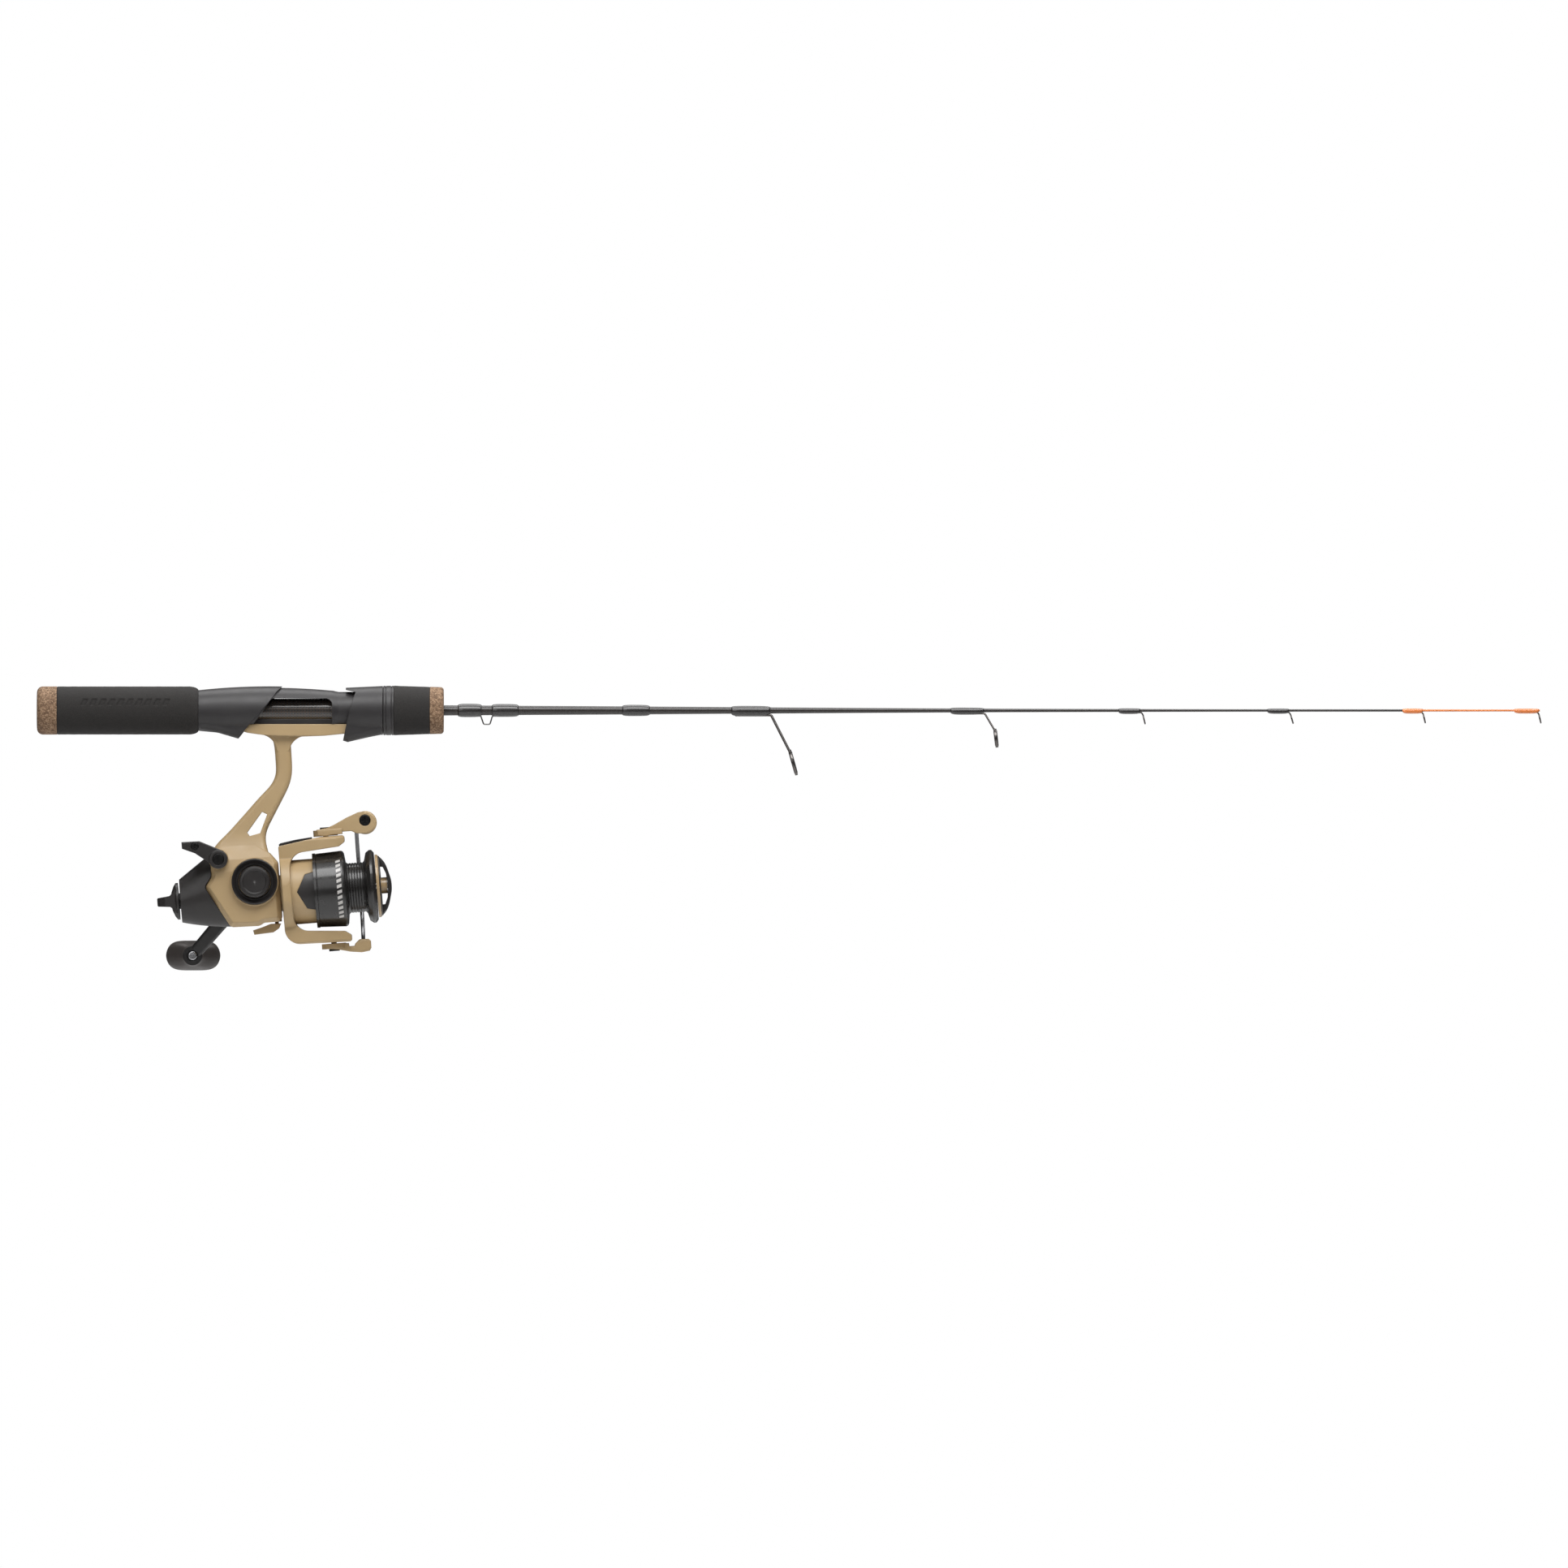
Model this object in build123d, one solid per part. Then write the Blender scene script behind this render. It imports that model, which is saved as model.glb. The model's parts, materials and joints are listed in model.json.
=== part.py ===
"""Ice fishing rod with a bait-feeder spinning reel.

Row frame, in millimetres: +X runs along the rod from the butt to the tip, +Z is up,
and the reel hangs below the rod.  The origin is the centre of the flat butt face, on
the rod's axis.  The reel is built in its own frame, x along the spool axis and z across
it, and is then set under the seat with its nose tipped up towards the first guide.
"""

import math
import os

from build123d import *

# ---------------------------------------------------------------- driving dimensions
ROD_LENGTH = 762.0            # butt face to the end of the tip wrap

GRIP_R = 12.2                 # outer radius of the butt cap and the rear grip
TUBE_R, TUBE_BORE_R = 6.0, 5.0
BUTT_CAP_END = 10.1
REAR_GRIP_END = 81.7
TUBE_START, TUBE_END = 4.0, 198.4

SEAT_FRONT = 167.5            # end of the seat's full body, start of its threaded barrel
BARREL_R, BARREL_END = 8.0, 197.0
FOOT_TOP = -6.9               # the plane where the reel foot meets the seat
FOOT_HALF_WIDTH = 7.0
HOOD_END = 175.0
NUT_START, NUT_END = 175.2, 180.5
NUT_SLEEVE_R = 9.4
FORE_GRIP_END = 198.9
FORE_CORK_END = 205.8
SLIDE_GAP = 0.3               # radial room between the barrel and what slides on it

BLANK_START = 100.0
SPLICE_X = 691.0              # where the carbon blank meets the bright tip section
TIP_END = ROD_LENGTH - 1.5
BLANK_LINE = [                # (station along the rod, blank radius)
    (BLANK_START, 2.6), (206, 2.6), (244, 2.35), (300, 2.05), (375, 1.55),
    (450, 1.1), (490, 0.9), (550, 0.75), (600, 0.65), (SPLICE_X, 0.6),
]

# The reel's frame: its origin is the foot of the handle axle on the spool axis.
REEL_X, REEL_Z, REEL_TILT = 110.8, -93.5, 4.4
AXLE_Z = 6.9                  # the handle axle crosses this far above the spool axis
AXLE_R = 2.5
SHAFT_R = 1.5
RUNNING = 0.05                # radial running clearance

SPOOL_STROKE = 8.0
BODY_HALF = 13.5              # half the gear housing's width
COVER_SEAM = 8.0              # the plane between the body and its side cover
WALL = 1.8

ROTOR_BACK = 13.2
CUP_R, CUP_END = 16.3, 41.0
ARM_INNER, ARM_OUTER = 21.4, 27.0
ARM_END = 46.8
BAIL_X = 37.5                 # the bail's pivots stand here along the spool axis
SKIRT_START, SKIRT_END, SKIRT_R = 29.8, 46.0, 19.2
ARBOR_R = 12.6
LIP_START, LIP_END, LIP_R = 55.8, 61.0, 18.5

CRANK_RADIUS, CRANK_ANGLE = 49.6, 225.0
KNOB_START, KNOB_END = 47.6, 70.0

DRIVE_TEETH, PINION_TEETH = 31, 6
OSC_TEETH, OSC_DRIVE_TEETH = 24, 12
OSC_MODULE = 0.6

REEL_FRAME = Plane(
    origin=(REEL_X, 0, REEL_Z),
    x_dir=(math.cos(math.radians(REEL_TILT)), 0, math.sin(math.radians(REEL_TILT))),
    z_dir=(-math.sin(math.radians(REEL_TILT)), 0, math.cos(math.radians(REEL_TILT))),
)
AXLE = Axis((0, 0, AXLE_Z), (0, 1, 0))


# ------------------------------------------------------------------------- helpers
def outline(*points):
    """A closed straight-sided face through the points."""
    return make_face(Polyline(*points, close=True))


def side_plane(y):
    """The plane at this y whose sketch axes are x and z."""
    return Plane(origin=(0, y, 0), x_dir=(1, 0, 0), z_dir=(0, -1, 0))


def prism(face, y_low, y_high):
    """A side outline in x and z, made solid from y_low to y_high."""
    return extrude(side_plane(y_high) * face, y_high - y_low, dir=(0, -1, 0))


def faceted(face, half, flat_half, inset):
    """A side outline whose two faces slope in from flat_half to half by inset."""
    middle = prism(face, -flat_half, flat_half)
    small = offset(face, -inset, kind=Kind.INTERSECTION)
    for sign in (-1, 1):
        near, far = side_plane(sign * flat_half), side_plane(sign * half)
        middle += loft([near * face, far * small], ruled=True)
    return middle


def turned(*points):
    """A solid turned about the x axis from (x, radius) points."""
    return revolve(Plane.XZ * outline(*points), Axis.X)


def turned_face(face):
    """A solid turned about the x axis from a face drawn in x and radius."""
    return revolve(Plane.XZ * face, Axis.X)


def ring(x_low, x_high, inner, outer):
    """A plain ring about the x axis."""
    return turned((x_low, inner), (x_high, inner), (x_high, outer), (x_low, outer))


def turned_on_axle(*points):
    """A solid turned about the handle axle from (y, radius) points."""
    plane = Plane(origin=(0, 0, AXLE_Z), x_dir=(0, 1, 0), z_dir=(1, 0, 0))
    return revolve(plane * outline(*points), AXLE)


def upright(x, y, z_low, z_high, radius):
    """A round pin that stands along z."""
    return Pos(x, y, (z_low + z_high) / 2) * Cylinder(radius, z_high - z_low)


def across(x, z, y_low, y_high, radius):
    """A round pin that lies along y."""
    pin = Rot(X=90) * Cylinder(radius, y_high - y_low)
    return Pos(x, (y_low + y_high) / 2, z) * pin


def box(x_low, x_high, y_low, y_high, z_low, z_high):
    """A box between two corners."""
    size = Box(x_high - x_low, y_high - y_low, z_high - z_low)
    return Pos((x_low + x_high) / 2, (y_low + y_high) / 2, (z_low + z_high) / 2) * size


def wire(points, bend, radius):
    """A round wire along straight runs joined by arcs."""
    path = FilletPolyline(*points, radius=bend)
    section = Plane(origin=path @ 0, z_dir=path % 0) * Circle(radius)
    return sweep(section, path)


def circles_at(part, x, tolerance=0.05):
    """The part's edges that lie whole in the plane across x."""
    return [
        e for e in part.edges()
        if abs(e.bounding_box().min.X - x) < tolerance
        and abs(e.bounding_box().max.X - x) < tolerance
    ]


def cross_head(x, z, y_face, radius, depth=0.7):
    """The cross-shaped driver recess of a screw whose head faces -y."""
    width = radius * 0.32
    bars = Box(radius * 1.3, 2 * depth, width) + Box(width, 2 * depth, radius * 1.3)
    return Pos(x, y_face, z) * bars


# --------------------------------------------------------------------- rod: handle
def butt_cap():
    cap = turned(
        (0, 0), (0, GRIP_R), (BUTT_CAP_END, GRIP_R),
        (BUTT_CAP_END, TUBE_R), (TUBE_START, TUBE_R), (TUBE_START, 0),
    )
    return fillet(circles_at(cap, 0), 3.0)


def rear_grip():
    nose_length, nose_drop = 5.3, 2.0
    shoulder = REAR_GRIP_END - nose_length
    nose = EllipticalCenterArc(
        (shoulder, GRIP_R - nose_drop), nose_length, nose_drop, arc_size=90
    )
    rest = Polyline(
        nose @ 1, (BUTT_CAP_END, GRIP_R), (BUTT_CAP_END, TUBE_R),
        (REAR_GRIP_END, TUBE_R), nose @ 0,
    )
    return turned_face(make_face([nose, rest]))


def handle_tube():
    return ring(TUBE_START, TUBE_END, TUBE_BORE_R, TUBE_R)


def blank():
    return turned((BLANK_START, 0), *BLANK_LINE, (SPLICE_X, 0))


def tip_section():
    return turned((SPLICE_X, 0), (SPLICE_X, 0.6), (TIP_END, 0.5), (TIP_END, 0))


def blank_bushings():
    stations = ((104, 112), (150, 158), (190, 198))
    return [ring(low, high, BLANK_LINE[0][1], TUBE_BORE_R) for low, high in stations]


def reel_seat():
    """Seat body with its rear hood, side windows and the barrel for the sliding hood."""
    crown = ThreePointArc((REAR_GRIP_END, 9.8), (112, 11.5), (150, 10.0))
    core = turned_face(make_face([
        crown,
        Polyline(
            crown @ 1, (152.5, 9.4), (SEAT_FRONT, 9.4), (SEAT_FRONT, BARREL_R), (BARREL_END, BARREL_R),
            (BARREL_END, TUBE_R), (REAR_GRIP_END, TUBE_R), crown @ 0,
        ),
    ]))
    shell = ThreePointArc((REAR_GRIP_END, 10.3), (112, 12.2), (150, 10.7))
    hood = turned_face(make_face([
        shell, Polyline(shell @ 1, (150, TUBE_R), (REAR_GRIP_END, TUBE_R), shell @ 0)
    ]))
    hood_edge = [(101.9, -14.2), (108.3, -6.0), (117.0, 3.6), (121.3, 9.4), (125.0, 13.0)]
    hood &= prism(outline((80, 13), (80, -16), *hood_edge), -15, 15)
    lip = prism(
        outline((83, -6), (83, -9.9), (92, -11.4), (101.9, -14.3), (108.3, -6)), -8.6, 8.6
    )
    low_edges = lip.edges().filter_by(lambda e: e.center().Z < -8 and abs(e.center().Y) > 8)
    lip = fillet([e for e in low_edges if e.center().X < 101.5], 4.5)
    foot_space = box(100, 163, -15, 15, -20, FOOT_TOP)
    foot_space -= prism(outline((80, -6), (80, -16), *hood_edge[:2]), -15, 15)
    pocket = box(97.4, 112, -FOOT_HALF_WIDTH - 0.1, FOOT_HALF_WIDTH + 0.1, -11.4, FOOT_TOP)
    corners = [(106.0, -12), (118.9, 6.2), (149.4, 6.0), (149.4, -12)]
    window = prism(make_face(FilletPolyline(*corners, radius=3.4, close=True)), -15, 15)
    saddle_half = 4.2
    window -= box(105, 152, -saddle_half, saddle_half, -8, -3)
    body = core - foot_space
    body = body + hood + lip - window - pocket
    return body - ring(70, 200, 0, TUBE_R) - foot_space


# -------------------------------------------------- rod: sliding hood and fore grip
def front_hood():
    """Sliding hood: a sleeve on the barrel with a pocket that takes the foot's front."""
    shell = turned((150, 0), (150, 11.2), (160, 11.7), (HOOD_END, 12.4), (HOOD_END, 0))
    lip = prism(
        outline(
            (154, -4), (154, -15), (157.2, -16), (161, -15.1), (168, -13.5),
            (174, -12.3), (174, -4),
        ), -8.8, 8.8,
    )
    low = lip.edges().filter_by(lambda e: e.center().Z < -11.5 and abs(e.center().Y) > 8)
    hood = shell + fillet(list(low), 4.0)
    behind = prism(
        outline(
            (140, 20), (156.3, 20), (156.3, 10.4), (161.2, 9.2), (159.7, 5), (158.2, 0),
            (156.8, -6), (155, -14.8), (154, -20), (140, -20),
        ), -20, 20,
    )
    pocket = prism(
        outline((150, -5), (150, -13.8), (163.2, -10.05), (163.2, -5)),
        -FOOT_HALF_WIDTH - 0.4, FOOT_HALF_WIDTH + 0.4,
    )
    bore = ring(140, 168, 0, 9.8) + ring(140, 180, 0, BARREL_R + SLIDE_GAP)
    return hood - behind - pocket - bore


def lock_nut():
    """Threaded ring and sleeve that the fore grip is moulded on."""
    bore = BARREL_R + SLIDE_GAP
    groove = 0.35
    return turned(
        (NUT_START, bore), (NUT_START, 12.2), (NUT_START + 0.3, 12.5),
        (176.2, 12.5), (176.2 + groove, 12.5 - groove), (176.2 + 2 * groove, 12.5),
        (179.0, 12.5), (179.0 + groove, 12.5 - groove), (179.0 + 2 * groove, 12.5),
        (NUT_END, 12.5), (NUT_END, NUT_SLEEVE_R), (FORE_GRIP_END, NUT_SLEEVE_R),
        (FORE_GRIP_END, bore),
    )


def fore_grip():
    return turned(
        (NUT_END, NUT_SLEEVE_R), (NUT_END, 12.6), (FORE_GRIP_END, 12.0),
        (FORE_GRIP_END, NUT_SLEEVE_R),
    )


def fore_cork():
    bore = BLANK_LINE[0][1] + 0.6
    cork = turned(
        (FORE_GRIP_END, bore), (FORE_GRIP_END, 12.0), (FORE_CORK_END, 11.8),
        (FORE_CORK_END, bore),
    )
    return fillet([e for e in circles_at(cork, FORE_CORK_END) if e.radius > 8], 1.6)


# ---------------------------------------------------------------------- rod: guides
def blank_radius(x):
    """The blank's radius at a station, by straight interpolation."""
    for (x0, r0), (x1, r1) in zip(BLANK_LINE, BLANK_LINE[1:]):
        if x0 <= x <= x1:
            return r0 + (r1 - r0) * (x - x0) / (x1 - x0)
    return 0.55


def wrap(x_low, x_high, swell, drop=0.0):
    """A bound and coated thread wrap: a spindle round the blank, fuller underneath."""
    thin, thick = blank_radius(x_low) + 0.05, blank_radius(x_high) + swell
    ends = 0.16 * (x_high - x_low)
    spindle = turned(
        (x_low, 0), (x_low, thin), (x_low + ends, thick), (x_high - 0.5 * ends, thick),
        (x_high, blank_radius(x_high) + 0.3 * swell), (x_high, 0),
    )
    return Pos(0, 0, -drop) * spindle


GUIDES = {  # name: wrap start, wrap end, swell, ring x, ring z, outer, inner, lean
    "guide_1": (351.3, 371.1, 0.95, 382.6, -26.3, 6.75, 4.9, 15.5),
    "guide_2": (462.2, 479.2, 0.75, 485.3, -14.0, 4.8, 3.3, 6.6),
    "guide_3": (547.3, 558.3, 0.65, 560.2, -4.5, 2.6, 1.85, 13.4),
    "guide_4": (622.6, 633.6, 0.65, 635.0, -4.3, 2.6, 1.85, 16.0),
    "guide_5": (SPLICE_X, 701.3, 0.65, 702.0, -4.0, 2.6, 1.85, 13.0),
    "tip_guide": (747.5, TIP_END - 0.4, 0.65, TIP_END, -4.05, 2.6, 1.85, 13.0),
}
INSERT_WALL = 0.75            # wall of the hard insert in the two large guides


def ring_plane(x, z, lean):
    """The plane of a leaning guide ring; its normal is the ring's own axis."""
    turn = math.radians(lean)
    return Plane(origin=(x, 0, z), x_dir=(0, 1, 0), z_dir=(math.cos(turn), 0, math.sin(turn)))


def guide_ring_body(plane, inner, outer, width):
    """A ring with rounded edges about the plane's normal."""
    band = Cylinder(outer, width) - Cylinder(inner, width)
    return plane.location * fillet(band.edges(), min(width, outer - inner) * 0.42)


def large_guide(name):
    """Single-foot guide: a flat foot, two legs and the frame round the hard insert."""
    x_low, x_high, _, x, z, outer, inner, lean = GUIDES[name]
    frame = guide_ring_body(ring_plane(x, z, lean), inner + INSERT_WALL, outer, 1.5)
    turn = math.radians(lean)
    side, rise = 0.62 * outer, 0.72 * outer
    leg_r = 0.1 * outer
    foot_z = -blank_radius(x_high) - leg_r
    top = (x - rise * math.sin(turn), z + rise * math.cos(turn))
    for sign in (-1, 1):
        frame += wire(
            [
                (x_low + 2, sign * 0.5, foot_z - 0.1), (x_high + 0.4, sign * 0.6, foot_z - 0.1),
                (top[0], sign * side, top[1]),
            ], 1.2, leg_r,
        )
    insert = guide_ring_body(ring_plane(x, z, lean), inner, inner + INSERT_WALL, 1.9)
    return frame - insert, insert


def wire_guide(name):
    """Small guide bent from one wire: a foot under the wrap and a closed ring."""
    x_low, x_high, _, x, z, outer, inner, lean = GUIDES[name]
    wire_r = (outer - inner) / 2
    plane = ring_plane(x, z, lean)
    loop = plane.location * Torus((outer + inner) / 2, wire_r)
    turn = math.radians(lean)
    rise = (outer + inner) / 2
    foot_z = -blank_radius(x_high) - wire_r
    top = (x - rise * math.sin(turn), z + rise * math.cos(turn))
    foot = wire([(x_low + 1.5, 0, foot_z), (top[0] - 0.8, 0, foot_z), (top[0], 0, top[1])],
                0.35, wire_r)
    return loop + foot


def hook_keeper():
    r = 0.35
    under = -blank_radius(225) - r
    return wire(
        [
            (218, 0, under - 0.02), (224.6, 0, under - 0.02), (226.0, 0, -7.0),
            (229.2, 0, -7.0), (230.4, 0, under - 0.02), (237, 0, under - 0.02),
        ], 0.9, r,
    )


# ------------------------------------------------------------------ reel: housing
GEAR_CASE = [
    (-13.7, -15.2), (0.6, -15.6), (3.2, -14.2), (12.4, -14.2), (12.4, 15.8), (8.8, 20.6),
    (2.0, 25.0), (-12.0, 26.5), (-19.6, 24.0), (-21.6, 19.6), (-21.6, 11.2), (-25.5, 6.1),
]
GEAR_ROOM = [
    (-13.0, -12.8), (10.2, -12.6), (10.2, 14.8), (7.0, 18.6), (-17.6, 18.6), (-19.4, 16.4),
    (-19.4, 10.6), (-23.0, 6.4),
]
HOUSING_CORNER_R = 3.0
# How wide the housing is at each height: broad round the gears, slim towards the stem.
HOUSING_FRONT = [
    (-13.5, -20), (-13.5, 13), (-11.8, 19), (-8.2, 24.5), (-5.0, 30), (5.0, 30), (8.2, 24.5),
    (11.8, 19), (13.5, 13), (13.5, -20),
]
STEM_SECTIONS = [  # height, rear x, front x, half width
    (15, -19.0, 9.6, 10.8), (21, -20.2, 7.9, 9.4), (26.5, -18.4, 7.1, 7.2),
    (32, -12.4, 8.0, 5.6), (38, -6.0, 11.3, 4.9), (44, 0.2, 15.0, 4.6),
    (50, 6.4, 18.7, 4.4), (55, 11.7, 21.3, 4.2), (60, 14.5, 22.8, 4.1),
    (66, 15.1, 23.3, 4.1), (73, 15.1, 23.4, 4.1), (77.5, 14.4, 24.0, 4.3),
    (80.2, 12.4, 26.4, 4.9), (82, 8.2, 30.8, 5.8),
]
STEM_WINDOW = [(6.3, 41.8), (8.8, 40.4), (4.6, 31.2), (-0.9, 30.1), (-2.0, 31.9)]


def gear_case():
    """The housing's outer form, still whole: body and side cover together."""
    side = make_face(FilletPolyline(*GEAR_CASE, radius=HOUSING_CORNER_R, close=True))
    case = faceted(side, 13.5, 10.5, 2.2)
    across_x = Plane(origin=(-60, 0, 0), x_dir=(0, 1, 0), z_dir=(1, 0, 0))
    case &= extrude(across_x * outline(*HOUSING_FRONT), 120)
    for sign in (-1, 1):
        case += turned_on_axle(
            (sign * 8, 0), (sign * 8, 12.2), (sign * 15.5, 12.2), (sign * 15.8, 11.9),
            (sign * 15.8, 0),
        )
    return case


def gear_cavity():
    """The room inside the housing for the gears, shaft and slider."""
    return faceted(outline(*GEAR_ROOM), BODY_HALF - WALL, 9.0, 2.0)


def stem():
    """The stem, drawn through one rounded section after another up to the foot."""
    faces = []
    for z, rear, front, half in STEM_SECTIONS:
        plane = Plane(origin=((rear + front) / 2, 0, z), x_dir=(1, 0, 0), z_dir=(0, 0, 1))
        faces.append(plane * RectangleRounded(front - rear, 2 * half, min(half, 4.5) * 0.62))
    form = loft(faces)
    return form - prism(outline(*STEM_WINDOW), -10, 10)


def foot():
    """The foot that the seat's two hoods clamp."""
    plate = prism(
        outline(
            (97.8, FOOT_TOP), (97.8, -8.8), (106.6, -11.3), (115.8, -12.6), (134, -13.2),
            (145.2, -12.8), (156.2, -11.7), (161.8, -10.1), (161.8, FOOT_TOP),
        ), -FOOT_HALF_WIDTH, FOOT_HALF_WIDTH,
    )
    plate = fillet(plate.edges().filter_by(Axis.Z), 5.0)
    rear = ThreePointArc((113.4, -12.2), (118.8, -14.8), (121.4, -20.6))
    front = ThreePointArc((127.6, -20.6), (130.5, -15.1), (137.0, -12.9))
    flare = make_face([
        rear, Line(rear @ 1, front @ 0), front, Polyline(front @ 1, (137, -10), (113.4, -10), rear @ 0)
    ])
    return (plate & Rot(Y=90) * Cylinder(14.6, 400)) + prism(flare, -4.1, 4.1)


def reel_body():
    """Near half of the gear housing with the stem, the foot and the front neck."""
    room = gear_cavity()
    shell = (gear_case() + stem()) & box(-60, 60, -30, COVER_SEAM, -60, 90)
    shell -= room
    shell += ring(11, 18.4, 5.5, 9.2) - ring(13.3, 30, 0, 8.0)
    shell += across(OSC_X, OSC_Z, -12.4, -5.0, 1.5) + upright(9.5, 0, -14.2, -9.0, 2.6)
    shell += across(LEVER_X, LEVER_Z, -13.6, -7.0, 5.0)
    shell += box(-21.5, -16.6, -2.4, 2.4, RAIL_Z - 1.9, RAIL_Z + 1.9) & gear_case()
    cuts = across(0, AXLE_Z, -30, 30, 8.0) + ring(0, 30, 0, 5.5) + ring(-60, 0, 0, 1.8)
    cuts += Pos(0, 0, RAIL_Z) * ring(-17.6, 0, 0, 1.0)
    cuts += upright(9.5, 0, -20, -10.5, 1.0 + RUNNING)
    cuts += across(LEVER_X, LEVER_Z, -20, -10.0, 1.5 + RUNNING)
    cuts += across(0, AXLE_Z, -20, -13.0, 11.65)
    land = turned_on_axle((-13.0, 5.5), (-13.0, 8.2), (-9.6, 8.2), (-9.6, 5.5))
    return REEL_FRAME.location * (shell - cuts + land) + foot()


def side_cover():
    """The far half of the gear housing, held by its screws."""
    shell = (gear_case() + stem()) & box(-60, 60, COVER_SEAM, 30, -60, 60)
    shell -= gear_cavity()
    shell += turned_on_axle((9.6, 5.5), (9.6, 9.0), (14, 9.0), (14, 5.5))
    shell -= across(0, AXLE_Z, 0, 13.0, 5.5) + across(0, AXLE_Z, 0, 30, AXLE_R + 0.6)
    shell -= ring(10, 20, 0, 9.25)
    for x, z in COVER_SCREWS:
        shell -= across(x, z, 12.4, 20, 2.1) + across(x, z, 0, 20, 1.1)
    return shell


COVER_SCREWS = [(-13.0, 19.5), (-14.0, -7.5), (6.5, -9.0)]


def cover_screws():
    made = []
    for x, z in COVER_SCREWS:
        screw = across(x, z, 8.2, 12.4, 1.0) + across(x, z, 12.4, 13.9, 2.0)
        slot = Rot(Z=180) * cross_head(-x, z, -13.9, 2.0)
        made.append(screw - slot)
    return made


REAR_SECTIONS = [(-38.2, 0.0, 10.9, 10.9), (-24.4, 3.4, 17.2, 12.4), (-12.0, 7.0, 22.0, 13.3)]


def rear_loft(inset=0.0, start=0.0):
    """The round-to-oval form of the rear housing: (x, centre z, half height, half width)."""
    faces = []
    for x, z, tall, wide in REAR_SECTIONS:
        plane = Plane(origin=(x + start, 0, z), x_dir=(0, 1, 0), z_dir=(1, 0, 0))
        faces.append(plane * Ellipse(wide - inset, tall - inset))
    return loft(faces)


def rear_cover():
    """Rear housing for the feeder drag, split from the body along the angled seam."""
    behind = prism(
        outline((-50, 30), (-21.0, 30), (-21.0, 11.0), (-24.6, 6.1), (-13.0, -15.6), (-50, -30)),
        -20, 20,
    )
    side = make_face(FilletPolyline(*GEAR_CASE, radius=HOUSING_CORNER_R, close=True))
    shell = (rear_loft() & behind) - prism(offset(side, 0.06), -20, 20)
    shell -= rear_loft(inset=1.7, start=2.0)
    shell -= prism(outline((-30, 24), (-30, 19), (-12, 24)), -20, 20)
    shell -= across(LEVER_X, LEVER_Z, -20, -5, 5.06)
    return shell - ring(-45, -30, 0, 4.2)


def feeder_drag_stack():
    """Friction discs behind the main shaft, pressed by the rear knob."""
    bore = SHAFT_R + 0.1
    discs = [ring(-35.4 + 1.3 * i, -34.5 + 1.3 * i, bore, 7.0 if i % 2 else 7.8) for i in range(4)]
    return discs


# ------------------------------------------------------------- reel: moving parts
def involute_outline(teeth, module, backlash=0.08, addendum=0.85, dedendum=1.1):
    """The outline of a spur gear with involute flanks, one point list per tooth."""
    pressure = math.radians(25)
    pitch = teeth * module / 2
    base, tip, root = pitch * math.cos(pressure), pitch + addendum * module, pitch - dedendum * module
    half = math.pi / (2 * teeth) - backlash / (2 * pitch)
    spread = math.tan(pressure) - pressure
    flank = []
    low = max(base, root)
    for i in range(5):
        r = low + (tip - low) * i / 4
        roll = math.acos(base / r)
        flank.append((r, half + spread - (math.tan(roll) - roll)))
    points = []
    for tooth in range(teeth):
        middle = 2 * math.pi * tooth / teeth
        foot = flank[0][1]
        side = [(root, foot)] + flank if root < low else flank
        for r, a in side:
            points.append((r * math.cos(middle - a), r * math.sin(middle - a)))
        for r, a in reversed(side):
            points.append((r * math.cos(middle + a), r * math.sin(middle + a)))
    return outline(*points)


PINION_LEAN = 53.0            # helix angle of the pinion's teeth
GEAR_LEAN = 6.4               # angle of the face gear's teeth from the radius
PINION_PITCH_R, GEAR_MEAN_R = 3.0, 9.5
PINION_START, PINION_END = 3.6, 10.2
GEAR_PHASE = 9.35             # turn about the axle that puts the two in mesh


def pinion():
    """Helical pinion and its hollow shaft, which carries the rotor."""
    tip, root = 3.5, 2.5
    half_tip, half_root = 0.14, 0.26
    points = []
    for tooth in range(PINION_TEETH):
        middle = 2 * math.pi * tooth / PINION_TEETH
        for r, a in ((root, -half_root), (tip, -half_tip), (tip, half_tip), (root, half_root)):
            points.append((r * math.cos(middle + a), r * math.sin(middle + a)))
    length = PINION_END - PINION_START
    twist = -math.degrees(length * math.tan(math.radians(PINION_LEAN)) / PINION_PITCH_R)
    face = Plane(origin=(PINION_START, 0, 0), x_dir=(0, 1, 0), z_dir=(1, 0, 0)) * outline(*points)
    teeth = Solid.extrude_linear_with_rotation(
        face.face(), (PINION_START, 0, 0), (length, 0, 0), twist
    )
    shaft = ring(PINION_START, 27.0, 0, root) + ring(PINION_END, 24, 0, 2.6)
    return Part() + teeth + shaft - ring(0, 40, 0, SHAFT_R + RUNNING)


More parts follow.
